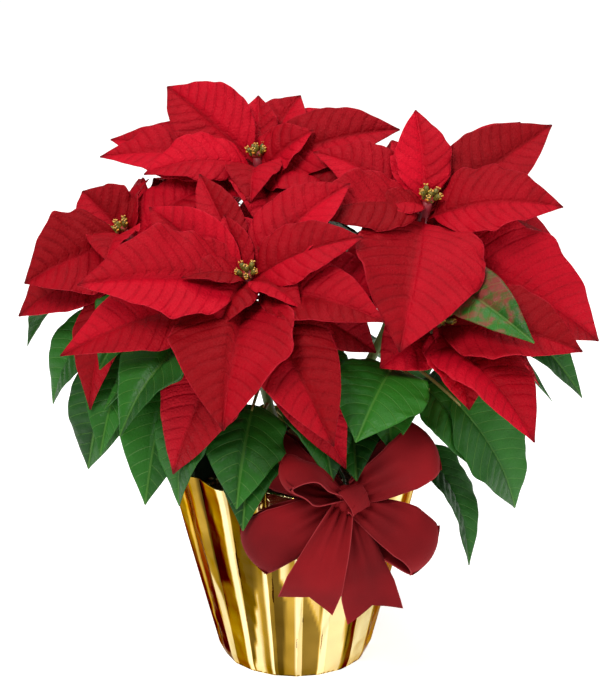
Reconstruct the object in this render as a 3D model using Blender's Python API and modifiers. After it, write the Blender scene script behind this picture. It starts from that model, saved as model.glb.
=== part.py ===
# Poinsettia in a foil-wrapped nursery pot, with a ribbon bow on a wire pick.
# Metres, +Z up. The origin is on the surface, under the middle of the pot. -Y is the front, where the bow is.

import math
import random
from dataclasses import dataclass, replace

import bmesh
import bpy
from mathutils import Matrix, Quaternion, Vector
from mathutils.bvhtree import BVHTree

MM = 0.001
GAP = 0.3 * MM  # air between pieces that touch
SHARP_ANGLE = math.radians(40)  # faces that meet at a wider angle than this keep a sharp edge
GOLDEN_ANGLE = math.radians(137.5)  # turn from one leaf or bract to the next

# Pot: a 6 inch standard nursery pot
POT_BASE_RADIUS = 50 * MM
POT_RIM_RADIUS = 76 * MM
POT_HEIGHT = 142 * MM
POT_WALL = 1.4 * MM
RIM_BAND = 10 * MM
RIM_LIP = 2 * MM
DRAIN_HOLES = 4
DRAIN_RADIUS = 5 * MM
DRAIN_CIRCLE = 30 * MM
ROUND_STEPS = 24

# Soil
SOIL_TOP = 126 * MM
SOIL_CROWN = 5 * MM

# Foil cover: height, middle radius and pleat depth up its wall, in millimetres
FOIL_THICKNESS = 0.6 * MM
FOIL_RINGS = (
    (0, 53.5, 0.4),
    (7, 56.5, 0.9),
    (50, 66.5, 2.0),
    (100, 78.5, 3.0),
    (142, 88, 3.6),
    (158, 92.5, 4.6),
)
FOIL_PLEATS = 17
WIDE_PANEL = (11, 19)  # degrees that the broad side of a pleat spans
NARROW_PANEL = (3, 7)
FOIL_EDGE_RAG = 3.5 * MM
FOIL_SEED = 11

# Plant
TRUNK_RADIUS = 6 * MM
TRUNK_FOOT = 88 * MM
TRUNK_TOP = 172 * MM
STEM_RADIUS = 3.4 * MM
STEM_POINTS = 6
CORE_LENGTH = 42 * MM
CORE_RADIUS = 3.8 * MM
BLADE_THICKNESS = 0.7 * MM
STALK_HALF = 1.3 * MM
TIP_HALF = 0.5 * MM
LEAF_STALK_RADIUS = 1.3 * MM
CROWDING = 1.05 * MM  # thickness that a blade is given while it is bent clear of the others

# Leaves and bracts set by the rule
LEAST_DROP = 5
FULL_BRACTS = 14
FILLER_TRIES = 10
FILLER_LEAVES = 5
NO_FILLER_FRONT = -0.1  # a filler may not point further to the front than this where bracts are placed by hand
LEAF_STALK_SHARE = 0.3
STALK_LAP = 0.05  # how far a round stalk runs on into its blade, as a share of the midrib

# Flower cluster in the middle of a bloom
BUDS = 6
BUD_LENGTH = 7 * MM
BUD_RADIUS = 1.9 * MM
DOME_RADIUS = 4.2 * MM
DOME_HEIGHT = 3 * MM

# Bow: one ribbon, 1 1/2 inch wide, and the wire pick that holds it
RIBBON_WIDTH = 40 * MM
RIBBON_THICKNESS = 0.8 * MM
PINCH_WIDTH = 7 * MM
PINCH_RISE = 2.5 * MM
KNOT = Vector((35, -107.5, 163)) * MM
KNOT_RADIUS = 10 * MM
WIRE_RADIUS = 0.9 * MM
PICK_POINTS = ((35, -95.9, 164), (34, -92, 172), (30, -78, 175), (26, -63, 156), (24, -58, 104))


@dataclass
class Bloom:
    # A head of bracts: where its flower cluster is, which way it faces, and where its stem leaves the trunk.
    name: str
    centre: Vector
    axis: Vector
    branch_height: float


def bloom(name, centre, axis, branch_height):
    return Bloom(name, Vector(centre) * MM, Vector(axis).normalized(), branch_height * MM)


BLOOMS = (
    bloom("front_left", (-32, -80, 315), (-0.10, -0.50, 0.86), 146),
    bloom("front_right", (100, -70, 280), (0.50, -0.48, 0.72), 138),
    bloom("right", (93, -20, 351), (0.22, -0.32, 0.92), 162),
    bloom("top", (-27, 35, 369), (-0.10, -0.12, 0.98), 170),
    bloom("left", (-122, 5, 322), (-0.55, -0.15, 0.82), 152),
    bloom("back_right", (72, 92, 330), (0.38, 0.48, 0.79), 156),
    bloom("back_left", (-62, 108, 312), (-0.30, 0.58, 0.75), 141),
)

# Bracts placed one by one: tip from the bloom's centre (right, back, up), width, arch, share by which its face
# turns from the bloom's own way to the front, drop of the root below the centre, and teeth. Lengths in millimetres.
PLACED_BRACTS = {
    "front_left": (
        ((-15, -80, -82), 80, 0.16, 0.0, 20, 0.10),
        ((-112, -35, 4), 66, 0.12, 0.35, 14, 0.08),
        ((58, -70, -97), 62, 0.16, 0.2, 22, 0.0),
        ((-52, -15, -139), 52, 0.22, 0.6, 32, 0.14),
        ((-126, -25, -49), 54, 0.14, 0.4, 26, 0.06),
        ((67, -30, -129), 46, 0.18, 0.5, 32, 0.0),
        ((92, -40, -20), 50, 0.15, 0.3, 18, 0.0),
        ((-18, -32, -28), 34, 0.16, 0.0, 5, 0.0),
        ((-44, -20, 7), 25, 0.12, 0.3, 5, 0.0),
        ((38, -32, -17), 27, 0.14, 0.2, 5, 0.0),
        ((38, 25, 34), 34, 0.10, 0.3, 7, 0.0),
        ((-49, 5, 22), 26, 0.12, 0.4, 7, 0.0),
        ((-18, 18, 38), 24, 0.10, 0.3, 6, 0.0),
        ((71, 45, 48), 50, 0.14, 0.5, 10, 0.0),
        ((82, 10, 20), 44, 0.16, 0.35, 9, 0.0),
        ((-30, 60, 59), 30, 0.12, 0.6, 9, 0.0),
        ((-68, 40, 35), 44, 0.14, 0.5, 12, 0.0),
        ((88, 8, -58), 46, 0.14, 0.4, 14, 0.0),
    ),
    "right": (
        ((-23, -98, -78), 90, 0.14, 0.0, 14, 0.04),
        ((-89, -30, -7), 52, 0.14, 0.35, 10, 0.0),
        ((-80, 30, 27), 46, 0.16, 0.4, 18, 0.0),
        ((89, 45, 43), 56, 0.02, 0.35, 12, 0.06),
        ((93, -10, -2), 56, 0.14, 0.35, 18, 0.08),
        ((118, -28, -97), 74, 0.20, 0.5, 34, 0.12),
        ((-62, -60, -70), 52, 0.18, 0.3, 28, 0.0),
        ((69, 70, 39), 40, 0.12, 0.3, 24, 0.0),
        ((-8, 40, 55), 38, 0.10, 0.5, 9, 0.08),
        ((-24, 30, 37), 28, 0.10, 0.5, 6, 0.0),
        ((-39, -20, -3), 24, 0.14, 0.2, 5, 0.0),
        ((16, 14, 24), 15, 0.08, 0.2, 5, 0.0),
        ((30, 14, 16), 16, 0.08, 0.2, 6, 0.0),
    ),
    "top": (
        ((-66, 42, 41), 56, 0.10, 0.75, 8, 0.0),
        ((-80, -22, -8), 44, 0.16, 0.45, 12, 0.0),
        ((-113, 5, 1), 50, 0.12, 0.6, 20, 0.06),
        ((-108, 40, 2), 44, 0.14, 0.6, 28, 0.0),
        ((0, 26, 41), 29, 0.08, 0.6, 8, 0.0),
        ((31, 40, 35), 44, 0.12, 0.7, 14, 0.08),
        ((100, -8, 24), 50, 0.14, 0.55, 14, 0.0),
        ((40, -14, 22), 44, 0.12, 0.3, 20, 0.0),
        ((63, 34, 24), 44, 0.14, 0.5, 22, 0.0),
        ((66, -45, -15), 56, 0.16, 0.3, 16, 0.0),
        ((4, -70, -40), 54, 0.20, 0.0, 24, 0.06),
        ((-40, -26, -34), 40, 0.18, 0.2, 22, 0.06),
        ((119, -35, -14), 44, 0.16, 0.4, 14, 0.0),
        ((-4, -58, -22), 40, 0.20, 0.3, 12, 0.0),
    ),
    "front_right": (
        ((94, -35, -11), 62, 0.14, 0.3, 12, 0.06),
        ((60, -70, -63), 62, 0.14, 0.2, 24, 0.0),
        ((19, -45, -45), 48, 0.14, 0.0, 8, 0.06),
        ((-42, -26, -26), 46, 0.16, 0.0, 12, 0.0),
        ((45, 15, 20), 36, 0.12, 0.2, 9, 0.0),
        ((-8, -22, -20), 18, 0.12, 0.0, 5, 0.0),
    ),
    "left": (
        ((-68, -30, -30), 64, 0.14, 0.7, 10, 0.10),
        ((-76, -6, -62), 50, 0.14, 0.6, 26, 0.0),
        ((-34, 24, 22), 46, 0.12, 0.6, 12, 0.08),
        ((-20, -44, -12), 38, 0.16, 0.2, 6, 0.0),
        ((-24, -62, -110), 44, 0.20, 0.5, 34, 0.0),
        ((63, 15, 29), 42, 0.14, 0.5, 12, 0.0),
    ),
}

# Leaves placed one by one: the bloom whose stem carries it, share of the stem where it grows, tip from the
# origin (right, back, up), width, arch, share by which it faces the front, and teeth. Lengths in millimetres.
PLACED_LEAVES = (
    ("right", 0.80, (159, -125, 282), 42, 0.14, 0.75, 0.0),
    ("front_right", 0.84, (36, -132, 206), 68, 0.16, 0.2, 0.0),
    ("front_left", 0.70, (22, -120, 182), 58, 0.16, 0.2, 0.10),
    ("front_left", 0.55, (-40, -112, 157), 52, 0.20, 0.3, 0.18),
    ("front_left", 0.80, (-68, -94, 146), 50, 0.20, 0.3, 0.0),
    ("front_right", 0.48, (52, -112, 178), 44, 0.20, 0.4, 0.0),
    ("front_right", 0.70, (78, -96, 184), 40, 0.20, 0.5, 0.08),
    ("front_right", 0.78, (122, -84, 178), 46, 0.20, 0.5, 0.0),
    ("front_right", 0.88, (156, -62, 137), 50, 0.22, 0.5, 0.12),
    ("right", 0.62, (166, -40, 216), 50, 0.18, 0.4, 0.0),
    ("right", 0.70, (206, -18, 204), 40, 0.20, 0.4, 0.0),
    ("left", 0.62, (-105, -78, 146), 54, 0.20, 0.4, 0.0),
    ("left", 0.70, (-130, -58, 170), 46, 0.20, 0.4, 0.0),
    ("left", 0.80, (-156, -38, 159), 50, 0.22, 0.5, 0.0),
    ("left", 0.86, (-176, 2, 192), 42, 0.20, 0.5, 0.0),
)

COLOURS = {
    # name: (red, green, blue), roughness, metallic
    "nursery pot plastic": ((0.02, 0.05, 0.03), 0.5, 0.0),
    "potting mix": ((0.035, 0.02, 0.012), 0.95, 0.0),
    "gold foil": ((0.83, 0.60, 0.20), 0.16, 1.0),
    "stem green": ((0.12, 0.16, 0.04), 0.6, 0.0),
    "leaf green": ((0.03, 0.13, 0.03), 0.55, 0.0),
    "bract red": ((0.58, 0.01, 0.03), 0.6, 0.0),
    "flower yellow": ((0.55, 0.42, 0.05), 0.5, 0.0),
    "ribbon red": ((0.27, 0.01, 0.02), 0.8, 0.0),
    "wire green": ((0.02, 0.10, 0.03), 0.5, 0.2),
}


# Scene helpers

def clear_scene():
    for old in list(bpy.data.objects):
        bpy.data.objects.remove(old)


def collection_named(name):
    made = bpy.data.collections.new(name)
    bpy.context.scene.collection.children.link(made)
    return made


def material_named(name):
    found = bpy.data.materials.get(name)
    if found:
        return found
    colour, roughness, metallic = COLOURS[name]
    made = bpy.data.materials.new(name)
    made.use_nodes = True
    shader = made.node_tree.nodes["Principled BSDF"]
    shader.inputs["Base Color"].default_value = (*colour, 1)
    shader.inputs["Roughness"].default_value = roughness
    shader.inputs["Metallic"].default_value = metallic
    return made


def object_from(bm, name, collection, material):
    mesh = bpy.data.meshes.new(name)
    bm.to_mesh(mesh)
    bm.free()
    made = bpy.data.objects.new(name, mesh)
    collection.objects.link(made)
    mesh.materials.append(material_named(material))
    return made


def face_outward(bm):
    bmesh.ops.recalc_face_normals(bm, faces=bm.faces[:])
    if bm.calc_volume(signed=True) < 0:
        bmesh.ops.reverse_faces(bm, faces=bm.faces[:])


def shade_round(obj):
    obj.data.shade_smooth()
    obj.data.set_sharp_from_angle(angle=SHARP_ANGLE)


def evaluated_mesh(obj):
    bpy.context.view_layer.update()
    graph = bpy.context.evaluated_depsgraph_get()
    return bpy.data.meshes.new_from_object(obj.evaluated_get(graph))


def apply_modifiers(obj):
    obj.data = evaluated_mesh(obj)
    obj.modifiers.clear()
    return obj


def cut(obj, cutters):
    """Removes each cutter's shape from the object, and then the cutter."""
    for cutter in cutters:
        modifier = obj.modifiers.new("cut", "BOOLEAN")
        modifier.operation = "DIFFERENCE"
        modifier.object = cutter
    apply_modifiers(obj)
    for cutter in cutters:
        bpy.data.objects.remove(cutter)
    return obj


def fuse(core, scraps, solver="MANIFOLD"):
    """Joins everything in the scraps collection to the core, in one union, and empties the collection."""
    modifier = core.modifiers.new("fuse", "BOOLEAN")
    modifier.operation = "UNION"
    modifier.solver = solver
    modifier.operand_type = "COLLECTION"
    modifier.collection = scraps
    apply_modifiers(core)
    for scrap in list(scraps.objects):
        bpy.data.objects.remove(scrap)
    return fill_pockets(core)


def fill_pockets(obj):
    """Makes the body solid where its pieces close off a pocket: only its outer skin, the widest island, stays."""
    bm = bmesh.new()
    bm.from_mesh(obj.data)
    left = set(bm.verts)
    islands = []
    while left:
        island, edge = set(), [left.pop()]
        while edge:
            vert = edge.pop()
            island.add(vert)
            near = {link.other_vert(vert) for link in vert.link_edges} & left
            left -= near
            edge += near
        islands.append(island)
    widest = max(islands, key=spread_of)
    bmesh.ops.delete(bm, geom=[vert for vert in bm.verts if vert not in widest], context="VERTS")
    bm.to_mesh(obj.data)
    bm.free()
    return obj


def spread_of(verts):
    return sum(max(v.co[axis] for v in verts) - min(v.co[axis] for v in verts) for axis in range(3))


def turned(name, profile, collection, material, steps=ROUND_STEPS):
    """A solid of revolution about Z. The profile's points are (radius, height), top to bottom on its outer side."""
    bm = bmesh.new()
    verts = [bm.verts.new((radius, 0, height)) for radius, height in profile]
    for upper, lower in zip(verts, verts[1:]):
        bm.edges.new((upper, lower))
    made = object_from(bm, name, collection, material)
    screw = made.modifiers.new("turn", "SCREW")
    screw.steps = screw.render_steps = steps
    screw.use_merge_vertices = True
    screw.merge_threshold = 0.00001
    return made


def rod(name, start, end, radius, collection, material, sides=12, end_radius=None):
    """A straight round bar, or a cone where end_radius is given."""
    bm = bmesh.new()
    axis = end - start
    bmesh.ops.create_cone(
        bm,
        cap_ends=True,
        segments=sides,
        radius1=radius,
        radius2=radius if end_radius is None else end_radius,
        depth=axis.length,
    )
    place = Matrix.Translation((start + end) / 2) @ axis.to_track_quat("Z", "Y").to_matrix().to_4x4()
    bmesh.ops.transform(bm, matrix=place, verts=bm.verts)
    return object_from(bm, name, collection, material)


def tube(name, points, radius, collection, material, resolution):
    """A round bar along the points, as a closed mesh."""
    curve = bpy.data.curves.new(name, "CURVE")
    curve.dimensions = "3D"
    curve.bevel_depth = radius
    curve.bevel_resolution = resolution
    curve.use_fill_caps = True
    spline = curve.splines.new("POLY")
    spline.points.add(len(points) - 1)
    for control, point in zip(spline.points, points):
        control.co = (*point, 1)
    drawn = bpy.data.objects.new(name + "_curve", curve)
    collection.objects.link(drawn)
    bm = bmesh.new()
    bm.from_mesh(evaluated_mesh(drawn))
    bmesh.ops.remove_doubles(bm, verts=bm.verts, dist=0.01 * MM)
    bpy.data.objects.remove(drawn)
    return object_from(bm, name, collection, material)


def bezier(points, count):
    """count points along the cubic curve that four points control."""
    a, b, c, d = points
    shares = (index / (count - 1) for index in range(count))
    return [
        a * (1 - t) ** 3 + b * 3 * t * (1 - t) ** 2 + c * 3 * t * t * (1 - t) + d * t**3
        for t in shares
    ]


# Blades: bracts and leaves

FRONT = Vector((0, -0.95, 0.3))
WIDEST = 0.41  # share of a blade's length where it is widest
BASE_ROUNDING, TIP_ROUNDING = 0.8, 1.15
TEETH_AT, TOOTH_REACH = (0.24, 0.50), 0.07
WAVES = 1.6
TOOTHED_ROWS = (0.0, 0.24, 0.5, 0.77, 1.0)
LARGE_ROWS = (0.0, 0.3, 0.64, 1.0)
SMALL_ROWS = (0.0, 0.4, 1.0)
SMALL_WIDTH = 27 * MM


@dataclass
class Blade:
    # A midrib that arches from root to tip, and two halves folded up along it.
    root: Vector
    tip: Vector
    up: Vector  # the side that it faces
    width: float
    arch: float = 0.15  # rise of the midrib over its chord, as a share of the length
    teeth: float = 0.0  # how far its shoulders stand out, as a share of the width
    fold: float = 15.0  # degrees that each half is lifted
    stalk: float = 0.1  # share of the midrib that is bare
    wave: float = 0.05  # rise of the margin's waves, as a share of the width
    phase: float = 0.0


def midrib(blade, t):
    chord = blade.tip - blade.root
    lift = (blade.up - blade.up.project(chord)).normalized()
    control = (blade.root + blade.tip) / 2 + lift * (2 * blade.arch * chord.length)
    return blade.root * (1 - t) ** 2 + control * (2 * t * (1 - t)) + blade.tip * t * t


def outline(share):
    """Half the width of a blade of width 2, at a share of its length."""
    base = (share / WIDEST) ** BASE_ROUNDING
    return base * ((1 - share) / (1 - WIDEST)) ** TIP_ROUNDING


def blade_point(blade, t, s):
    """The point at t from root to tip and s from the left margin (-1) over the midrib (0) to the right (1)."""
    step = 0.01
    along = (midrib(blade, min(t + step, 1)) - midrib(blade, max(t - step, 0))).normalized()
    side = along.cross(blade.up).normalized()
    normal = side.cross(along)
    share = max(0.0, (t - blade.stalk) / (1 - blade.stalk))
    body = outline(share)
    teeth = sum(math.exp(-(((share - at) / TOOTH_REACH) ** 2)) for at in TEETH_AT)
    half = blade.width / 2 * body * (1 + blade.teeth * teeth)
    half += STALK_HALF + (TIP_HALF - STALK_HALF) * t
    fold = math.radians(blade.fold)
    turn = 2 * math.pi * WAVES * share + blade.phase + (1.7 if s > 0 else 0)
    wave = blade.wave * blade.width * body * s * s * math.sin(turn)
    sideways = side * (s * half * math.cos(fold))
    return midrib(blade, t) + sideways + normal * (abs(s) * half * math.sin(fold) + wave)


def rows_of(blade):
    """Stations along a blade: from its root, or from the end of its stalk where that is a round one."""
    shares = TOOTHED_ROWS if blade.teeth else LARGE_ROWS
    shares = SMALL_ROWS if blade.width < SMALL_WIDTH else shares
    rows = [blade.stalk + (1 - blade.stalk) * share for share in shares]
    return rows if has_round_stalk(blade) else [0.0] + rows


def has_round_stalk(blade):
    return blade.stalk > 0.2


def stalk_rows(blade):
    return [0.0, (blade.stalk + STALK_LAP) / 2, blade.stalk + STALK_LAP]


def blade_bmesh(blade, rows, thickness):
    bm = bmesh.new()
    bmesh.ops.create_grid(bm, x_segments=2, y_segments=len(rows) - 1, size=1)
    bmesh.ops.triangulate(bm, faces=bm.faces[:])
    for vert in bm.verts:
        row = round((vert.co.y + 1) / 2 * (len(rows) - 1))
        vert.co = blade_point(blade, rows[row], vert.co.x)
    bm.normal_update()
    bmesh.ops.solidify(bm, geom=bm.faces[:], thickness=thickness)
    face_outward(bm)
    return bm


# Room: every piece is known as a search tree, so that a blade can be bent clear of the rest

FREE_FROM = 0.38  # share of its length from which a blade may cross nothing of its own node
BEND_STEP = 0.055
TWIST_STEP = 13  # degrees
BEND_REACH = 5
BENDS = sorted(
    (
        (lift, turn, twist)
        for lift in range(-BEND_REACH, BEND_REACH + 1)
        for turn in range(-BEND_REACH, BEND_REACH + 1)
        for twist in (-1, 0, 1)
    ),
    key=lambda bend: (bend[0] ** 2 + bend[1] ** 2 + 1.5 * bend[2] ** 2, -bend[0], bend[1], bend[2]),
)


def tree_of(bm):
    tree = BVHTree.FromBMesh(bm)
    bm.free()
    return tree


def tree_of_object(obj):
    bm = bmesh.new()
    bm.from_mesh(evaluated_mesh(obj))
    return tree_of(bm)


def blade_trees(blade):
    """The blade's free part, and its root, which may cross its own node."""
    rows = rows_of(blade)
    if has_round_stalk(blade):
        free, root = rows, stalk_rows(blade)
    else:
        split = max(index for index, row in enumerate(rows) if row <= FREE_FROM)
        free, root = rows[split:], rows[: split + 1]
    return tree_of(blade_bmesh(blade, free, CROWDING)), tree_of(blade_bmesh(blade, root, CROWDING))


def is_clear(free, root, node, room):
    for owner, touchable, tree in room:
        if not (owner == node and touchable) and free.overlap(tree):
            return False
        if owner != node and root.overlap(tree):
            return False
    return True


def bent_clear(blade, node, room, sizes=(1.0, 0.88)):
    """The blade bent as little as it takes to cross nothing, or None. What it fills is added to the room."""
    chord = blade.tip - blade.root
    up = (blade.up - blade.up.project(chord)).normalized()
    side = chord.cross(up).normalized()
    for size in sizes:
        for lift, turn, twist in BENDS:
            way = (chord.normalized() + (up * lift + side * turn) * BEND_STEP).normalized()
            tip = blade.root + way * (chord.length * size)
            face = Quaternion(way, math.radians(twist * TWIST_STEP)) @ blade.up
            bent = replace(blade, tip=tip, width=blade.width * size, up=face)
            free, root = blade_trees(bent)
            if is_clear(free, root, node, room):
                room.append((node, False, free))
                room.append((node, True, root))
                return bent
    return None


# Pot, soil and foil

def make_pot(collection, cutters):
    base = FOIL_THICKNESS + GAP
    top = base + POT_HEIGHT
    slope = (POT_RIM_RADIUS - POT_BASE_RADIUS) / POT_HEIGHT
    band = top - RIM_BAND
    pot = turned(
        "nursery_pot",
        [
            (0, base + POT_WALL),
            (POT_BASE_RADIUS - POT_WALL, base + POT_WALL),
            (POT_RIM_RADIUS - POT_WALL, top),
            (POT_RIM_RADIUS + RIM_LIP, top),
            (POT_RIM_RADIUS + RIM_LIP - 0.5 * MM, band),
            (POT_RIM_RADIUS - RIM_BAND * slope, band),
            (POT_BASE_RADIUS, base),
            (0, base),
        ],
        collection,
        "nursery pot plastic",
    )
    apply_modifiers(pot)
    holes = []
    for index in range(DRAIN_HOLES):
        angle = 2 * math.pi * (index + 0.5) / DRAIN_HOLES
        foot = Vector((math.cos(angle), math.sin(angle), 0)) * DRAIN_CIRCLE
        low, high = foot + Vector((0, 0, base - POT_WALL)), foot + Vector((0, 0, base + 3 * POT_WALL))
        holes.append(rod("drain", low, high, DRAIN_RADIUS, cutters, "nursery pot plastic"))
    return cut(pot, holes)


def make_soil(collection, cutters, pick_line):
    slope = (POT_RIM_RADIUS - POT_BASE_RADIUS) / POT_HEIGHT
    base = FOIL_THICKNESS + GAP
    inside = POT_BASE_RADIUS - POT_WALL - 1.2 * GAP
    floor = base + POT_WALL + GAP

    def wall(height):
        return inside + (height - floor) * slope - 0.1 * MM

    soil = turned(
        "soil",
        [
            (0, SOIL_TOP + SOIL_CROWN),
            (30 * MM, SOIL_TOP + 0.7 * SOIL_CROWN),
            (56 * MM, SOIL_TOP + 0.2 * SOIL_CROWN),
            (wall(SOIL_TOP) - 3 * MM, SOIL_TOP),
            (wall(SOIL_TOP - 3 * MM), SOIL_TOP - 3 * MM),
            (wall(floor), floor),
            (0, floor),
        ],
        collection,
        "potting mix",
    )
    apply_modifiers(soil)
    foot = Vector((0, 0, TRUNK_FOOT - GAP))
    above = Vector((0, 0, SOIL_TOP + 4 * SOIL_CROWN))
    trunk_hole = rod("trunk_hole", foot, above, TRUNK_RADIUS + 2 * GAP, cutters, "potting mix")
    above, low = pick_line[-2:]
    low = low + (low - above).normalized() * GAP
    pick_hole = rod("pick_hole", low, above, WIRE_RADIUS + 2 * GAP, cutters, "potting mix", sides=8)
    return cut(soil, [trunk_hole, pick_hole])


def foil_creases():
    """For each crease: its angle, how far it stands in (-1) or out (1), and its share of the ragged edge."""
    draw = random.Random(FOIL_SEED)
    spans = []
    for _ in range(FOIL_PLEATS):
        spans += [draw.uniform(*WIDE_PANEL), draw.uniform(*NARROW_PANEL)]
    creases = []
    angle = 0.0
    for index, span in enumerate(spans):
        stand = (1 if index % 2 else -1) * draw.uniform(0.4, 1.0)
        creases.append((angle * 2 * math.pi / sum(spans), stand, draw.uniform(-1, 1)))
        angle += span
    return creases


def make_foil(collection):
    """A disc under the pot, drawn up into a pleated wall with a ragged top edge."""
    creases = foil_creases()
    top = len(FOIL_RINGS) - 1

    def place(crease, level):
        angle, stand, rag = creases[crease % len(creases)]
        height, radius, depth = FOIL_RINGS[level]
        reach = (radius + stand * depth) * MM
        lift = rag * FOIL_EDGE_RAG if level == top else 0
        return Vector((reach * math.cos(angle), reach * math.sin(angle), height * MM + lift))

    bm = bmesh.new()
    wall = bmesh.ops.create_grid(bm, x_segments=len(creases), y_segments=top, size=1)["verts"]
    bmesh.ops.triangulate(bm, faces=bm.faces[:])
    for vert in wall:
        crease = round((vert.co.x + 1) / 2 * len(creases))
        vert.co = place(crease, round((vert.co.y + 1) / 2 * top))
    disc = bmesh.ops.create_circle(bm, cap_ends=True, segments=len(creases), radius=1)["verts"]
    for crease, vert in enumerate(disc):
        vert.co = place(crease, 0)
    bmesh.ops.remove_doubles(bm, verts=bm.verts, dist=0.01 * MM)
    bmesh.ops.recalc_face_normals(bm, faces=bm.faces[:])
    foil = object_from(bm, "foil_wrap", collection, "gold foil")
    shell = foil.modifiers.new("foil", "SOLIDIFY")
    shell.thickness = FOIL_THICKNESS
    shell.offset = -1
    return apply_modifiers(foil)


# Stems

def stem_points(bloom):
    """The line of a bloom's stem, from the trunk's axis to the foot of the bloom's core."""
    foot = Vector((0, 0, bloom.branch_height))
    end = bloom.centre - bloom.axis * (CORE_LENGTH + GAP)
    straight = end - bloom.axis * (3 * STEM_RADIUS)
    outward = Vector((end.x, end.y, 0)).normalized()
    reach = (straight - foot).length
    leave = outward * 0.32 * reach + Vector((0, 0, 0.22 * reach))
    return bezier((foot, foot + leave, straight - bloom.axis * 0.3 * reach, straight), STEM_POINTS) + [end]


def along_points(points, share):
    """The point at a share of the way along a line of points."""
    place = share * (len(points) - 1)
    index = min(int(place), len(points) - 2)
    return points[index].lerp(points[index + 1], place - index)


def make_trunk(name, spare, collection):
    foot, top = Vector((0, 0, TRUNK_FOOT - spare)), Vector((0, 0, TRUNK_TOP + spare))
    ends = TRUNK_RADIUS + 1.1 * spare, 0.85 * TRUNK_RADIUS + 1.1 * spare
    return rod(name, foot, top, ends[0], collection, "stem green", end_radius=ends[1])


# Blooms

def placed_bracts(bloom):
    blades = []
    for tip, width, arch, front, drop, teeth in PLACED_BRACTS.get(bloom.name, ()):
        root = bloom.centre - bloom.axis * drop * MM
        tip_at = bloom.centre + Vector(tip) * MM
        blades.append(Blade(root, tip_at, bloom.axis.lerp(FRONT, front), width * MM, arch, teeth))
    return blades


def filler_bracts(bloom, seed):
    """Bracts by the rule: each a golden angle on, and longer, lower and flatter than the last."""
    draw = random.Random(seed)
    sideways = bloom.axis.orthogonal().normalized()
    by_hand = bloom.name in PLACED_BRACTS
    count = FILLER_TRIES if by_hand else FULL_BRACTS
    blades = []
    for index in range(count):
        share = index / (count - 1)
        share = 0.35 + 0.65 * share if by_hand else share
        out = Quaternion(bloom.axis, index * GOLDEN_ANGLE + draw.uniform(-0.2, 0.2)) @ sideways
        lean = math.radians(42 + 55 * share**0.8 + draw.uniform(-6, 6))
        length = (34 + 84 * share**0.8) * draw.uniform(0.9, 1.1) * MM
        way = bloom.axis * math.cos(lean) + out * math.sin(lean)
        droop = Vector((0, 0, -0.25 * share * length))
        root = bloom.centre - bloom.axis * (LEAST_DROP + 29 * share) * MM
        width = length * draw.uniform(0.5, 0.62)
        teeth = draw.choice((0, 0, 0.08, 0.14))
        face = bloom.axis + Vector((draw.uniform(-0.2, 0.2), draw.uniform(-0.2, 0.2), 0))
        if not by_hand or way.y > NO_FILLER_FRONT:
            blades.append(Blade(root, root + way * length + droop, face, width, 0.16, teeth))
    return blades


def make_flowers(bloom, collection, scraps):
    """A short dome with one bud on top of it and the others in a ring."""
    draw = random.Random(len(bloom.name))
    foot = bloom.centre + bloom.axis * GAP
    dome_top = foot + bloom.axis * DOME_HEIGHT
    dome = rod("cyathia_" + bloom.name, foot, dome_top, DOME_RADIUS, collection, "flower yellow", 8, 0.6 * DOME_RADIUS)
    sideways = bloom.axis.orthogonal().normalized()
    for index in range(BUDS):
        out = Quaternion(bloom.axis, 2 * math.pi * index / (BUDS - 1) + draw.uniform(-0.15, 0.15)) @ sideways
        lean = 0.62 if index < BUDS - 1 else 0.0
        way = (bloom.axis + out * lean).normalized()
        start = foot + out * (0.55 * DOME_RADIUS if index < BUDS - 1 else 0) + way * 1.0 * MM
        middle = start + way * (BUD_LENGTH * draw.uniform(0.5, 0.7))
        bud = sphere("bud", Vector(), 1, scraps, "flower yellow", 4, 5)
        shape = Matrix.Diagonal((BUD_RADIUS, BUD_RADIUS, BUD_LENGTH / 2, 1))
        aim = way.to_track_quat("Z", "Y").to_matrix().to_4x4()
        bud.data.transform(Matrix.Translation(middle) @ aim @ shape)
    return fuse(dome, scraps)


# Leaves

def placed_leaves(bloom, points):
    blades = []
    for owner, share, tip, width, arch, front, teeth in PLACED_LEAVES:
        if owner == bloom.name:
            root = along_points(points, share)
            blades.append(leaf_blade(root, Vector(tip) * MM, front, width * MM, arch, teeth))
    return blades


def leaf_blade(root, tip, front, width, arch, teeth):
    up = Vector((0, 0, 1)).lerp(FRONT, front)
    return Blade(root, tip, up, width, arch, teeth, 12, LEAF_STALK_SHARE)


def filler_leaves(bloom, points, seed):
    """Leaves by the rule, each a golden angle on up the stem, outward and hanging."""
    draw = random.Random(seed)
    heading = math.atan2(bloom.centre.y, bloom.centre.x)
    blades = []
    for index in range(FILLER_LEAVES):
        share = 0.42 + 0.52 * index / (FILLER_LEAVES - 1)
        root = along_points(points, share)
        angle = heading + math.radians(75) * math.sin(index * GOLDEN_ANGLE) + draw.uniform(-0.25, 0.25)
        length = draw.uniform(108, 138) * MM
        fall = math.radians(draw.uniform(14, 42))
        way = Vector((math.cos(angle) * math.cos(fall), math.sin(angle) * math.cos(fall), -math.sin(fall)))
        width = draw.uniform(46, 60) * MM
        teeth = draw.choice((0, 0, 0.1, 0.16))
        blades.append(leaf_blade(root, root + way * length, 0, width, 0.2, teeth))
    return blades


# Bow

@dataclass
class Loop:
    # One loop of the ribbon: the way it runs from the knot, and the way its front layer faces.
    way: Vector
    face: Vector
    length: float
    depth: float
    width: float


def loop(way, face, length, depth, width=RIBBON_WIDTH / MM):
    return Loop(Vector(way).normalized(), Vector(face).normalized(), length * MM, depth * MM, width * MM)


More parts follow.
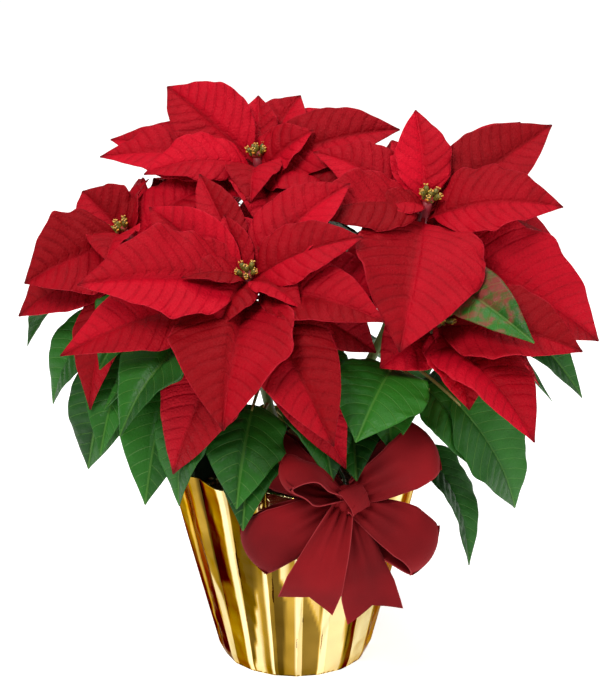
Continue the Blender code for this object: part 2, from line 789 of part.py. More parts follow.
LOOPS = (
    loop((-0.84, 0.03, -0.50), (-0.25, -0.92, 0.14), 80, 11),
    loop((-0.80, 0.50, 0.30), (0.50, -0.86, -0.10), 76, 9, 38),
    loop((-0.76, -0.42, 0.52), (0.30, -0.25, 0.93), 58, 9, 30),
    loop((0.84, 0.26, 0.50), (0.20, -0.92, 0.15), 72, 11),
    loop((0.80, 0.04, -0.58), (0.40, -0.76, 0.40), 74, 12),
    loop((0.50, -0.84, 0.24), (-0.40, -0.02, 0.90), 19, 8, 16),
)
LOOP_ROWS = 8
KNOT_SHARE = 0.11  # share of a loop's length that lies in the knot

# Tails: points from the knot down, and the way that the ribbon's width lies, in millimetres
TAILS = (
    (((0, 0, 0), (-9, -26, -18), (-20, -28, -50), (-28, -12, -76)), (0.90, -0.06, -0.42)),
    (((0, 0, 0), (6, -14, -26), (15, -16, -58), (21, -6, -86)), (0.95, 0.30, 0.16)),
)
TAIL_ROWS = 5
TAIL_NOTCH = 11 * MM


def ribbon(name, rows, place, collection):
    """A strip two faces wide, with place(u, v) as its points: u along it, and v from -1 to 1 across it."""
    bm = bmesh.new()
    bmesh.ops.create_grid(bm, x_segments=2, y_segments=rows, size=1)
    bmesh.ops.triangulate(bm, faces=bm.faces[:])
    for vert in bm.verts:
        vert.co = place((vert.co.y + 1) / 2, vert.co.x)
    bm.normal_update()
    bmesh.ops.solidify(bm, geom=bm.faces[:], thickness=RIBBON_THICKNESS)
    face_outward(bm)
    return object_from(bm, name, collection, "ribbon red")


def spread(share):
    """How far the ribbon has opened from the knot, where share is 0, to its full width."""
    return min(1.0, share * 1.25) ** 0.85


def loop_point(loop, u, v):
    """Out from the knot along the front, round the far end, and back behind."""
    across = loop.way.cross(loop.face).normalized()
    face = across.cross(loop.way).normalized()
    out = KNOT_SHARE + (1 - KNOT_SHARE) * math.sin(math.pi * u) ** 2
    swell = math.sin(2 * math.pi * u) * math.sin(math.pi * u) / 0.77
    opened = spread(out)
    width = PINCH_WIDTH + (loop.width - PINCH_WIDTH) * opened
    layer = 1 if u < 0.5 else -1
    rise = layer * (1.4 * MM + PINCH_RISE * (1 - opened) * (1 - abs(v)))
    along = loop.way * (loop.length * out)
    return KNOT + along + face * (loop.depth * swell + rise * (1 - out)) + across * (v * width / 2)


def tail_point(tail, u, v):
    corners, across = tail
    line = bezier([KNOT + Vector(corner) * MM for corner in corners], TAIL_ROWS + 1)
    line[0] = line[0].lerp(line[1], 0.2)
    row = round(u * TAIL_ROWS)
    heading = (line[min(row + 1, TAIL_ROWS)] - line[max(row - 1, 0)]).normalized()
    side = Vector(across)
    side = (side - side.project(heading)).normalized()
    width = PINCH_WIDTH + (RIBBON_WIDTH - PINCH_WIDTH) * spread(u)
    notch = -heading * (TAIL_NOTCH * (1 - abs(v))) if row == TAIL_ROWS else Vector()
    rise = side.cross(heading) * (PINCH_RISE * (1 - spread(u)) * (1 - abs(v)))
    return line[row] + side * (v * width / 2) + notch + rise


def make_bow(collection, scraps):
    """Five loops, a small one over the knot and two tails, all gathered into the knot."""
    knot = sphere("bow", KNOT, KNOT_RADIUS, collection, "ribbon red", 6, 8)
    for each in LOOPS:
        ribbon("loop", LOOP_ROWS, lambda u, v: loop_point(each, u, v), scraps)
    for each in TAILS:
        ribbon("tail", TAIL_ROWS, lambda u, v: tail_point(each, u, v), scraps)
    return fuse(knot, scraps)


def sphere(name, centre, radius, collection, material, rings, segments):
    bm = bmesh.new()
    bmesh.ops.create_uvsphere(bm, u_segments=segments, v_segments=rings, radius=radius)
    bmesh.ops.translate(bm, verts=bm.verts, vec=centre)
    return object_from(bm, name, collection, material)


# Assembly

def place_blades(blades, node, room, sizes=(1.0, 0.88)):
    placed = [bent_clear(blade, node, room, sizes) for blade in blades]
    return [blade for blade in placed if blade]


def make_all():
    clear_scene()
    plant = collection_named("poinsettia")
    cutters = collection_named("cutters")
    scraps = collection_named("scraps")

    make_pot(plant, cutters)
    pick_line = [Vector(point) * MM for point in PICK_POINTS]
    make_soil(plant, cutters, pick_line)
    foil = make_foil(plant)
    trunk = make_trunk("trunk", 0, plant)
    bow = make_bow(plant, scraps)
    pick = tube("bow_pick", pick_line, WIRE_RADIUS, plant, "wire green", 0)
    room = [(obj.name, False, tree_of_object(obj)) for obj in (foil, trunk, bow, pick)]

    stems, cores = {}, {}
    for each in BLOOMS:
        points = stem_points(each)
        stem_name, core_name = "leafy_stem_" + each.name, "bloom_" + each.name
        stem = tube(stem_name, points, STEM_RADIUS, plant, "leaf green", 1)
        cut(stem, [make_trunk("fat_trunk", GAP, cutters)])
        foot = each.centre - each.axis * CORE_LENGTH
        core = rod(core_name, foot, each.centre, CORE_RADIUS, plant, "bract red", 8, 0.85 * CORE_RADIUS)
        flowers = make_flowers(each, plant, scraps)
        stems[each.name], cores[each.name] = (stem, points), core
        for obj in (stem, core, flowers):
            room.append((obj.name, False, tree_of_object(obj)))

    bracts = {each.name: place_blades(placed_bracts(each), "bloom_" + each.name, room) for each in BLOOMS}
    leaves = {}
    for each in BLOOMS:
        blades = placed_leaves(each, stems[each.name][1])
        leaves[each.name] = place_blades(blades, "leafy_stem_" + each.name, room)
    for seed, each in enumerate(BLOOMS):
        bracts[each.name] += place_blades(filler_bracts(each, seed), "bloom_" + each.name, room, (1.0, 0.8))
    for seed, each in enumerate(BLOOMS):
        blades = filler_leaves(each, stems[each.name][1], seed)
        leaves[each.name] += place_blades(blades, "leafy_stem_" + each.name, room, (1.0, 0.8))

    for each in BLOOMS:
        for blade in bracts[each.name]:
            object_from(blade_bmesh(blade, rows_of(blade), BLADE_THICKNESS), "bract", scraps, "bract red")
        fuse(cores[each.name], scraps)
        for blade in leaves[each.name]:
            object_from(blade_bmesh(blade, rows_of(blade), BLADE_THICKNESS), "leaf", scraps, "leaf green")
            line = [midrib(blade, row) for row in stalk_rows(blade)]
            tube("stalk", line, LEAF_STALK_RADIUS, scraps, "leaf green", 0)
        fuse(stems[each.name][0], scraps)
        print(each.name, len(bracts[each.name]), "bracts", len(leaves[each.name]), "leaves")

    for made in plant.objects:
        if made != foil:
            shade_round(made)
    for hidden in (cutters, scraps):
        bpy.data.collections.remove(hidden)


make_all()
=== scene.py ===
import math
import random
from dataclasses import dataclass, replace

import bmesh
import bpy
from mathutils import Matrix, Quaternion, Vector, noise
from mathutils.kdtree import KDTree


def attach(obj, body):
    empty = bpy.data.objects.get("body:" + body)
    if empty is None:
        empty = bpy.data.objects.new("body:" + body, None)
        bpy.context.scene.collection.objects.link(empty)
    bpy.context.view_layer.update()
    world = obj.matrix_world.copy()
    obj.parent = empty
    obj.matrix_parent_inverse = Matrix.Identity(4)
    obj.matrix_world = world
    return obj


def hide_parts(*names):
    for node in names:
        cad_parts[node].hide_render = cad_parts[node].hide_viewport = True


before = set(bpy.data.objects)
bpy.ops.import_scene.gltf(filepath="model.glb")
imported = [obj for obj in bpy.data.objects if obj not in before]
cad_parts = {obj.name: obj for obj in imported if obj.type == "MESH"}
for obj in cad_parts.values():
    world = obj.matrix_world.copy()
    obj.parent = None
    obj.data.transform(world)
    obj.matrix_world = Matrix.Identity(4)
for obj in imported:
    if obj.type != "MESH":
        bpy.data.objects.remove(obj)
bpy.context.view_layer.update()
mm = 0.001
goldenAngle = math.radians(137.5)


# Camera, light and floor

cameraSpec = {
    "place": (0.0036, -1.6074, 0.7875),  # 19 degrees above the level, in front
    "target": (0.0036, 0.0, 0.234),
    "focal": 121.4,  # mm on a 36 mm wide sensor
}
lightSpec = {
    # name: place, size in metres, power in watts, colour
    "keySoftbox": ((-0.75, -1.25, 1.75), 0.9, 33, (1.0, 0.98, 0.95)),
    "fillSoftbox": ((1.5, -0.9, 0.9), 1.1, 9, (0.96, 0.98, 1.0)),
    "topSoftbox": ((0.2, 0.35, 1.9), 1.2, 16, (1.0, 1.0, 1.0)),
}
studioSpec = {
    "lampAim": (0, 0, 0.25),
    "floorReach": 60,  # metres each way
    "floorGlow": 0.7,
    "worldStrength": 0.31,
}


def placeCamera():
    camera = bpy.data.objects.new("camera", bpy.data.cameras.new("camera"))
    camera.data.sensor_fit = "AUTO"
    camera.data.sensor_width = 36
    camera.data.lens = cameraSpec["focal"]
    camera.location = cameraSpec["place"]
    aim = Vector(cameraSpec["target"]) - camera.location
    camera.rotation_euler = aim.to_track_quat("-Z", "Y").to_euler()
    bpy.context.scene.collection.objects.link(camera)
    bpy.context.scene.camera = camera


def placeLights():
    for name, (place, size, power, colour) in lightSpec.items():
        light = bpy.data.lights.new(name, "AREA")
        light.shape = "DISK"
        light.size = size
        light.energy = power
        light.color = colour
        lamp = bpy.data.objects.new(name, light)
        lamp.location = place
        aim = Vector(studioSpec["lampAim"]) - lamp.location
        lamp.rotation_euler = aim.to_track_quat("-Z", "Y").to_euler()
        bpy.context.scene.collection.objects.link(lamp)


# Nodes and colours

def linear(code):
    parts = [int(code[place:place + 2], 16) / 255 for place in (1, 3, 5)]
    raised = [part / 12.92 if part <= 0.04045 else ((part + 0.055) / 1.055) ** 2.4 for part in parts]
    return (*raised, 1.0)


def setInputs(tree, node, inputs):
    for name, value in inputs.items():
        if isinstance(value, bpy.types.NodeSocket):
            tree.links.new(value, node.inputs[name])
        else:
            node.inputs[name].default_value = value


def addNode(tree, kind, settings=None, inputs=None):
    made = tree.nodes.new("ShaderNode" + kind)
    for name, value in (settings or {}).items():
        setattr(made, name, value)
    setInputs(tree, made, inputs or {})
    return made


def newMaterial(name):
    made = bpy.data.materials.new(name)
    made.use_nodes = True
    tree = made.node_tree
    return made, tree, tree.nodes["Principled BSDF"], tree.nodes["Material Output"]


def mottledMaterial(name, low, high, gloss, scale, detail, span, relief, extra=None):
    # a surface mottled between two colours over a span of the noise; relief is the strength and, in mm,
    # the depth of the same mottle
    made, tree, shader, _ = newMaterial(name)
    place = addNode(tree, "TexCoord").outputs["Object"]
    mottle = addNode(tree, "TexNoise", {}, {"Vector": place, "Scale": scale, "Detail": detail}).outputs["Fac"]
    start, end = span
    share = addNode(tree, "MapRange", {}, {"Value": mottle, "From Min": start, "From Max": end}).outputs[0]
    base = addNode(tree, "Mix", {"data_type": "RGBA"}, {0: share, 6: linear(low), 7: linear(high)}).outputs[2]
    strength, depth = relief
    raised = {"Height": mottle, "Strength": strength, "Distance": depth * mm}
    bump = addNode(tree, "Bump", {}, raised).outputs["Normal"]
    setInputs(tree, shader, {"Base Color": base, "Roughness": gloss, "Normal": bump, **(extra or {})})
    return made


# Blades: bracts and leaves, each bent as its solid holds it

frontWay = Vector((0, -0.95, 0.3))
bladeForm = {
    "widest": 0.41,  # share of the length
    "baseRounding": 0.8,
    "tipRounding": 1.15,
    "shoulders": (0.24, 0.50),
    "shoulderReach": 0.07,
    "waves": 1.6,
    "stalkHalf": 1.3 * mm,
    "tipHalf": 0.5 * mm,
    "toothedRows": (0.0, 0.24, 0.5, 0.77, 1.0),
    "largeRows": (0.0, 0.3, 0.64, 1.0),
    "smallRows": (0.0, 0.4, 1.0),
    "smallWidth": 27 * mm,
    "bendStep": 0.055,
    "bendReach": 5,
    "twistStep": 13,  # degrees
    "largeGrid": (22, 56),
    "smallGrid": (14, 32),
    "puffs": ((0.38, 2.6, 5), (0.22, 6, 9)),  # unevenness between the veins: height, grain along and across
    "ruffles": ((1.0, 4.3), (0.4, 9.1)),  # height and number of waves at the margin
}
bractSpec = {
    "thickness": 0.45 * mm,
    "ribSpacing": 8.5 * mm,  # side veins of a bract stand 8 to 9 mm apart
    "quilt": 2.0 * mm,
    "groove": 0.7 * mm,
    "ruffle": 0.022,
    "curl": 0.06,
}
leafSpec = {
    "thickness": 0.4 * mm,
    "ribSpacing": 8.0 * mm,
    "quilt": 1.5 * mm,
    "groove": 0.9 * mm,
    "ruffle": 0.016,
    "curl": 0.05,
}


@dataclass
class Blade:
    root: Vector
    tip: Vector
    up: Vector
    width: float
    arch: float = 0.15
    teeth: float = 0.0
    fold: float = 15.0
    stalk: float = 0.1
    wave: float = 0.05
    blush: float = 0.0


def midrib(blade, t):
    chord = blade.tip - blade.root
    lift = (blade.up - blade.up.project(chord)).normalized()
    control = (blade.root + blade.tip) / 2 + lift * (2 * blade.arch * chord.length)
    return blade.root * (1 - t) ** 2 + control * (2 * t * (1 - t)) + blade.tip * t * t


def bladeFrame(blade, t):
    # middle, way along, side and face of a blade at t, with half its width and its outline there
    step = 0.01
    along = (midrib(blade, min(t + step, 1)) - midrib(blade, max(t - step, 0))).normalized()
    side = along.cross(blade.up).normalized()
    share = max(0.0, (t - blade.stalk) / (1 - blade.stalk))
    base = (share / bladeForm["widest"]) ** bladeForm["baseRounding"]
    body = base * ((1 - share) / (1 - bladeForm["widest"])) ** bladeForm["tipRounding"]
    reach = bladeForm["shoulderReach"]
    teeth = sum(math.exp(-(((share - at) / reach) ** 2)) for at in bladeForm["shoulders"])
    half = blade.width / 2 * body * (1 + blade.teeth * teeth)
    half += bladeForm["stalkHalf"] + (bladeForm["tipHalf"] - bladeForm["stalkHalf"]) * t
    return midrib(blade, t), along, side, side.cross(along), share, body, half


def solidPoint(blade, t, s):
    middle, _, side, face, share, body, half = bladeFrame(blade, t)
    fold = math.radians(blade.fold)
    turn = 2 * math.pi * bladeForm["waves"] * share + (1.7 if s > 0 else 0)
    wave = blade.wave * blade.width * body * s * s * math.sin(turn)
    return middle + side * (s * half * math.cos(fold)) + face * (abs(s) * half * math.sin(fold) + wave)


def checkRow(blade):
    # station of a row of corners that every solid blade shows
    rows = bladeForm["toothedRows"] if blade.teeth else bladeForm["largeRows"]
    rows = bladeForm["smallRows"] if blade.width < bladeForm["smallWidth"] else rows
    return blade.stalk + (1 - blade.stalk) * rows[-2]


def cornersOf(name):
    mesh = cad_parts[name].data
    tree = KDTree(len(mesh.vertices))
    for index, vert in enumerate(mesh.vertices):
        tree.insert(vert.co, index)
    tree.balance()
    return tree


def asPacked(blade, corners, sizes):
    # the blade bent as the solid has it, or None where the solid has no such blade
    near = 0.03 * mm
    reach = range(-bladeForm["bendReach"], bladeForm["bendReach"] + 1)
    chord = blade.tip - blade.root
    up = (blade.up - blade.up.project(chord)).normalized()
    side = chord.cross(up).normalized()
    for size in sizes:
        for lift in reach:
            for turn in reach:
                way = (chord.normalized() + (up * lift + side * turn) * bladeForm["bendStep"]).normalized()
                tip = blade.root + way * (chord.length * size)
                if corners.find(tip)[2] > near:
                    continue
                for twist in (-1, 0, 1):
                    face = Quaternion(way, math.radians(twist * bladeForm["twistStep"])) @ blade.up
                    bent = replace(blade, tip=tip, width=blade.width * size, up=face)
                    if corners.find(solidPoint(bent, checkRow(bent), 1))[2] < near:
                        return bent
    return None


def addBlade(bm, blade, spec, name):
    # one blade as a fine sheet: quilted between its side veins, grooved along its midrib,
    # ruffled at its margins
    draw = random.Random(name)
    big = blade.width > bladeForm["smallWidth"]
    columns, rows = bladeForm["largeGrid" if big else "smallGrid"]
    first = blade.stalk if blade.stalk > 0.2 else 0.0
    length = (blade.tip - blade.root).length * (1 - blade.stalk)
    ribs = max(5, round(length / spec["ribSpacing"]))
    quilt = spec["quilt"] * draw.uniform(0.45, 1.15) * min(1, blade.width / (46 * mm))
    ruffle = spec["ruffle"] * draw.uniform(0.6, 1.4) * blade.width
    curl = spec["curl"] * draw.uniform(-0.3, 1.0)
    shift = [draw.uniform(0, 6.28) for _ in range(4)]
    tint = draw.random()
    shaded = draw.randint(0, 1)  # the half that is more deeply ribbed, and darker in colour as painted shade
    lean = draw.uniform(-0.25, 0.25)
    layers = bm.verts.layers.float
    veinPhase, fromRib, edgeShare = layers["veinPhase"], layers["fromRib"], layers["edgeShare"]
    bladeTint, blush, alongShare = layers["bladeTint"], layers["blush"], layers["alongShare"]
    stations = [bladeFrame(blade, first + (1 - first) * row / rows) for row in range(rows + 1)]
    fold = math.radians(blade.fold)
    for vert in bmesh.ops.create_grid(bm, x_segments=columns, y_segments=rows, size=1)["verts"]:
        s = vert.co.x
        middle, _, side, face, share, body, half = stations[round((vert.co.y + 1) / 2 * rows)]
        away = abs(s) * half
        hand = 1 if s > 0 else 0
        phase = ribs * (share - 0.62 * away / length * (0.55 + 0.45 * abs(s))) + 0.5 * hand
        pillow = abs(math.sin(math.pi * phase)) ** 0.6
        for part, (size, lengthwise, crosswise) in enumerate(bladeForm["puffs"]):
            pillow += size * noise.noise(Vector((lengthwise * phase, crosswise * s, shift[part])))
        pillow *= min(1, away / (5 * mm)) * (1 - abs(s) ** 4) * min(1, half / (14 * mm)) * min(1, share * 8)
        turn = 2 * math.pi * bladeForm["waves"] * share + 1.7 * hand
        rise = abs(s) * half * math.sin(fold) + blade.wave * blade.width * body * s * s * math.sin(turn)
        for part, (size, waves) in enumerate(bladeForm["ruffles"]):
            turn = 2 * math.pi * waves * share + shift[2 * part + hand]
            rise += size * ruffle * body * abs(s) ** 3 * math.sin(turn)
        rise -= curl * half * s ** 4
        rise += lean * 0.28 * half * (1 - s * s) * (1 if hand else -1) * body
        rise += quilt * (1.2 if hand == shaded else 0.55) * pillow
        rise -= spec["groove"] * min(1, half / (8 * mm)) * math.exp(-((away / (1.6 * mm)) ** 2))
        vert.co = middle + side * (s * half * math.cos(fold)) + face * rise
        vert[veinPhase] = phase
        vert[fromRib] = away / mm
        vert[edgeShare] = abs(s)
        vert[alongShare] = share
        # random tone of the blade, plus painted shade on its more deeply ribbed half
        vert[bladeTint] = 0.75 * tint + (0.4 if hand == shaded else 0)
        vert[blush] = blade.blush


def bladeSheets(blades, spec, name):
    bm = bmesh.new()
    for layer in ("veinPhase", "fromRib", "edgeShare", "alongShare", "bladeTint", "blush"):
        bm.verts.layers.float.new(layer)
    for index, blade in enumerate(blades):
        addBlade(bm, blade, spec, name + str(index))
    for face in bm.faces:
        face.smooth = True
    made = objectFrom(bm, name + "_sheets")
    wall = made.modifiers.new("wall", "SOLIDIFY")
    wall.thickness = spec["thickness"]
    wall.offset = -1
    wall.material_offset = 1
    wall.use_quality_normals = False
    return applied(made)


def objectFrom(bm, name, materials=()):
    mesh = bpy.data.meshes.new(name)
    bm.to_mesh(mesh)
    bm.free()
    made = bpy.data.objects.new(name, mesh)
    bpy.context.scene.collection.objects.link(made)
    for material in materials:
        mesh.materials.append(material)
    return made


def applied(made):
    bpy.context.view_layer.update()
    graph = bpy.context.evaluated_depsgraph_get()
    made.data = bpy.data.meshes.new_from_object(made.evaluated_get(graph))
    made.modifiers.clear()
    return made


def joined(name, pieces, materials):
    # one mesh of several objects, which are removed; each brings the place of its material in the list
    bm = bmesh.new()
    for made, firstMaterial in pieces:
        before = len(bm.faces)
        bm.from_mesh(made.data)
        bm.faces.ensure_lookup_table()
        for face in bm.faces[before:]:
            face.material_index += firstMaterial
        bpy.data.objects.remove(made)
    return objectFrom(bm, name, materials)


def tubeAlong(name, points, radii, sides=14):
    # a round bar along points, drawn as a curve and made a mesh
    curve = bpy.data.curves.new(name, "CURVE")
    curve.dimensions = "3D"
    curve.bevel_depth = 1
    curve.bevel_resolution = (sides - 4) // 2
    curve.use_fill_caps = True
    spline = curve.splines.new("POLY")
    spline.points.add(len(points) - 1)
    for control, point, radius in zip(spline.points, points, radii):
        control.co = (*point, 1)
        control.radius = radius
    drawn = bpy.data.objects.new(name + "_curve", curve)
    bpy.context.scene.collection.objects.link(drawn)
    bpy.context.view_layer.update()
    graph = bpy.context.evaluated_depsgraph_get()
    bm = bmesh.new()
    bm.from_mesh(bpy.data.meshes.new_from_object(drawn.evaluated_get(graph)))
    bpy.data.objects.remove(drawn)
    bmesh.ops.remove_doubles(bm, verts=bm.verts, dist=0.001 * mm)
    bmesh.ops.recalc_face_normals(bm, faces=bm.faces)
    for face in bm.faces:
        face.smooth = len(face.verts) == 4
    return objectFrom(bm, name)


def bezierPoint(points, t):
    a, b, c, d = points
    return a * (1 - t) ** 3 + b * 3 * t * (1 - t) ** 2 + c * 3 * t * t * (1 - t) + d * t ** 3


def bezier(points, count):
    return [bezierPoint(points, index / (count - 1)) for index in range(count)]


# Heads of bracts

@dataclass
class Bloom:
    name: str
    centre: Vector
    axis: Vector
    branchHeight: float


bloomTable = {
    "front_left": ((-32, -80, 315), (-0.10, -0.50, 0.86), 146),
    "front_right": ((100, -70, 280), (0.50, -0.48, 0.72), 138),
    "right": ((93, -20, 351), (0.22, -0.32, 0.92), 162),
    "top": ((-27, 35, 369), (-0.10, -0.12, 0.98), 170),
    "left": ((-122, 5, 322), (-0.55, -0.15, 0.82), 152),
    "back_right": ((72, 92, 330), (0.38, 0.48, 0.79), 156),
    "back_left": ((-62, 108, 312), (-0.30, 0.58, 0.75), 141),
}
blooms = [
    Bloom(name, Vector(centre) * mm, Vector(axis).normalized(), height * mm)
    for name, (centre, axis, height) in bloomTable.items()
]

# Placed bracts: tip from the flower cluster in mm, width, arch, turn to the front, drop of the root, shoulders
placedBracts = {
    "front_left": (
        ((-15, -80, -82), 80, 0.16, 0.0, 20, 0.10),
        ((-112, -35, 4), 66, 0.12, 0.35, 14, 0.08),
        ((58, -70, -97), 62, 0.16, 0.2, 22, 0.0),
        ((-52, -15, -139), 52, 0.22, 0.6, 32, 0.14),
        ((-126, -25, -49), 54, 0.14, 0.4, 26, 0.06),
        ((67, -30, -129), 46, 0.18, 0.5, 32, 0.0),
        ((92, -40, -20), 50, 0.15, 0.3, 18, 0.0),
        ((-18, -32, -28), 34, 0.16, 0.0, 5, 0.0),
        ((-44, -20, 7), 25, 0.12, 0.3, 5, 0.0),
        ((38, -32, -17), 27, 0.14, 0.2, 5, 0.0),
        ((38, 25, 34), 34, 0.10, 0.3, 7, 0.0),
        ((-49, 5, 22), 26, 0.12, 0.4, 7, 0.0),
        ((-18, 18, 38), 24, 0.10, 0.3, 6, 0.0),
        ((71, 45, 48), 50, 0.14, 0.5, 10, 0.0),
        ((82, 10, 20), 44, 0.16, 0.35, 9, 0.0),
        ((-30, 60, 59), 30, 0.12, 0.6, 9, 0.0),
        ((-68, 40, 35), 44, 0.14, 0.5, 12, 0.0),
        ((88, 8, -58), 46, 0.14, 0.4, 14, 0.0),
    ),
    "right": (
        ((-23, -98, -78), 90, 0.14, 0.0, 14, 0.04),
        ((-89, -30, -7), 52, 0.14, 0.35, 10, 0.0),
        ((-80, 30, 27), 46, 0.16, 0.4, 18, 0.0),
        ((89, 45, 43), 56, 0.02, 0.35, 12, 0.06),
        ((93, -10, -2), 56, 0.14, 0.35, 18, 0.08),
        ((118, -28, -97), 74, 0.20, 0.5, 34, 0.12),
        ((-62, -60, -70), 52, 0.18, 0.3, 28, 0.0),
        ((69, 70, 39), 40, 0.12, 0.3, 24, 0.0),
        ((-8, 40, 55), 38, 0.10, 0.5, 9, 0.08),
        ((-24, 30, 37), 28, 0.10, 0.5, 6, 0.0),
        ((-39, -20, -3), 24, 0.14, 0.2, 5, 0.0),
        ((16, 14, 24), 15, 0.08, 0.2, 5, 0.0),
        ((30, 14, 16), 16, 0.08, 0.2, 6, 0.0),
    ),
    "top": (
        ((-66, 42, 41), 56, 0.10, 0.75, 8, 0.0),
        ((-80, -22, -8), 44, 0.16, 0.45, 12, 0.0),
        ((-113, 5, 1), 50, 0.12, 0.6, 20, 0.06),
        ((-108, 40, 2), 44, 0.14, 0.6, 28, 0.0),
        ((0, 26, 41), 29, 0.08, 0.6, 8, 0.0),
        ((31, 40, 35), 44, 0.12, 0.7, 14, 0.08),
        ((100, -8, 24), 50, 0.14, 0.55, 14, 0.0),
        ((40, -14, 22), 44, 0.12, 0.3, 20, 0.0),
        ((63, 34, 24), 44, 0.14, 0.5, 22, 0.0),
        ((66, -45, -15), 56, 0.16, 0.3, 16, 0.0),
        ((4, -70, -40), 54, 0.20, 0.0, 24, 0.06),
        ((-40, -26, -34), 40, 0.18, 0.2, 22, 0.06),
        ((119, -35, -14), 44, 0.16, 0.4, 14, 0.0),
        ((-4, -58, -22), 40, 0.20, 0.3, 12, 0.0),
    ),
    "front_right": (
        ((94, -35, -11), 62, 0.14, 0.3, 12, 0.06),
        ((60, -70, -63), 62, 0.14, 0.2, 24, 0.0),
        ((19, -45, -45), 48, 0.14, 0.0, 8, 0.06),
        ((-42, -26, -26), 46, 0.16, 0.0, 12, 0.0),
        ((45, 15, 20), 36, 0.12, 0.2, 9, 0.0),
        ((-8, -22, -20), 18, 0.12, 0.0, 5, 0.0),
    ),
    "left": (
        ((-68, -30, -30), 64, 0.14, 0.7, 10, 0.10),
        ((-76, -6, -62), 50, 0.14, 0.6, 26, 0.0),
        ((-34, 24, 22), 46, 0.12, 0.6, 12, 0.08),
        ((-20, -44, -12), 38, 0.16, 0.2, 6, 0.0),
        ((-24, -62, -110), 44, 0.20, 0.5, 34, 0.0),
        ((63, 15, 29), 42, 0.14, 0.5, 12, 0.0),
    ),
}

# Placed leaves: head whose stem carries it, share of the stem, tip in mm, width, arch, turn to the front,
# shoulders, and how much red there is in its green
placedLeaves = (
    ("right", 0.80, (159, -125, 282), 42, 0.14, 0.75, 0.0, 0.62),
    ("front_right", 0.84, (36, -132, 206), 68, 0.16, 0.2, 0.0, 0),
    ("front_left", 0.70, (22, -120, 182), 58, 0.16, 0.2, 0.10, 0),
    ("front_left", 0.55, (-40, -112, 157), 52, 0.20, 0.3, 0.18, 0),
    ("front_left", 0.80, (-68, -94, 146), 50, 0.20, 0.3, 0.0, 0),
    ("front_right", 0.48, (52, -112, 178), 44, 0.20, 0.4, 0.0, 0.12),
    ("front_right", 0.70, (78, -96, 184), 40, 0.20, 0.5, 0.08, 0.35),
    ("front_right", 0.78, (122, -84, 178), 46, 0.20, 0.5, 0.0, 0.0),
    ("front_right", 0.88, (156, -62, 137), 50, 0.22, 0.5, 0.12, 0.0),
    ("right", 0.62, (166, -40, 216), 50, 0.18, 0.4, 0.0, 0.0),
    ("right", 0.70, (206, -18, 204), 40, 0.20, 0.4, 0.0, 0.0),
    ("left", 0.62, (-105, -78, 146), 54, 0.20, 0.4, 0.0, 0.0),
    ("left", 0.70, (-130, -58, 170), 46, 0.20, 0.4, 0.0, 0.0),
    ("left", 0.80, (-156, -38, 159), 50, 0.22, 0.5, 0.0, 0.0),
    ("left", 0.86, (-176, 2, 192), 42, 0.20, 0.5, 0.0, 0.0),
)
bloomRules = {
    "leastDrop": 5,
    "fullBracts": 14,
    "fillerTries": 10,
    "fillerLeaves": 5,
    "noFillerFront": -0.1,
    "coreLength": 42 * mm,
    "coreRadius": 3.8 * mm,
    "stemRadius": 3.4 * mm,
    "stemPoints": 6,
    "gap": 0.3 * mm,
    "leafStalkShare": 0.3,
    "stalkLap": 0.05,
    "leafStalkRadius": 1.3 * mm,
}


def bractsByHand(bloom):
    blades = []
    for tip, width, arch, turned, drop, teeth in placedBracts.get(bloom.name, ()):
        root = bloom.centre - bloom.axis * drop * mm
        tipAt = bloom.centre + Vector(tip) * mm
        blades.append(Blade(root, tipAt, bloom.axis.lerp(frontWay, turned), width * mm, arch, teeth))
    return blades


def bractsByRule(bloom, seed):
    draw = random.Random(seed)
    sideways = bloom.axis.orthogonal().normalized()
    byHand = bloom.name in placedBracts
    count = bloomRules["fillerTries"] if byHand else bloomRules["fullBracts"]
    blades = []
    for index in range(count):
        share = index / (count - 1)
        share = 0.35 + 0.65 * share if byHand else share
        out = Quaternion(bloom.axis, index * goldenAngle + draw.uniform(-0.2, 0.2)) @ sideways
        lean = math.radians(42 + 55 * share ** 0.8 + draw.uniform(-6, 6))
        length = (34 + 84 * share ** 0.8) * draw.uniform(0.9, 1.1) * mm
        way = bloom.axis * math.cos(lean) + out * math.sin(lean)
        droop = Vector((0, 0, -0.25 * share * length))
        root = bloom.centre - bloom.axis * (bloomRules["leastDrop"] + 29 * share) * mm
        width = length * draw.uniform(0.5, 0.62)
        teeth = draw.choice((0, 0, 0.08, 0.14))
        face = bloom.axis + Vector((draw.uniform(-0.2, 0.2), draw.uniform(-0.2, 0.2), 0))
        if not byHand or way.y > bloomRules["noFillerFront"]:
            blades.append(Blade(root, root + way * length + droop, face, width, 0.16, teeth))
    return blades


def leafBlade(root, tip, turned, width, arch, teeth, blush=0.0):
    up = Vector((0, 0, 1)).lerp(frontWay, turned)
    return Blade(root, tip, up, width, arch, teeth, 12, bloomRules["leafStalkShare"], 0.05, blush)


def leavesByHand(bloom, points):
    return [
        leafBlade(alongPoints(points, share), Vector(tip) * mm, turned, width * mm, arch, teeth, blush)
        for owner, share, tip, width, arch, turned, teeth, blush in placedLeaves
        if owner == bloom.name
    ]


def leavesByRule(bloom, points, seed):
    draw = random.Random(seed)
    heading = math.atan2(bloom.centre.y, bloom.centre.x)
    count = bloomRules["fillerLeaves"]
    blades = []
    for index in range(count):
        root = alongPoints(points, 0.42 + 0.52 * index / (count - 1))
        angle = heading + math.radians(75) * math.sin(index * goldenAngle) + draw.uniform(-0.25, 0.25)
        length = draw.uniform(108, 138) * mm
        fall = math.radians(draw.uniform(14, 42))
        way = Vector((math.cos(angle) * math.cos(fall), math.sin(angle) * math.cos(fall), -math.sin(fall)))
        width = draw.uniform(46, 60) * mm
        teeth = draw.choice((0, 0, 0.1, 0.16))
        blades.append(leafBlade(root, root + way * length, 0, width, 0.2, teeth))
    return blades


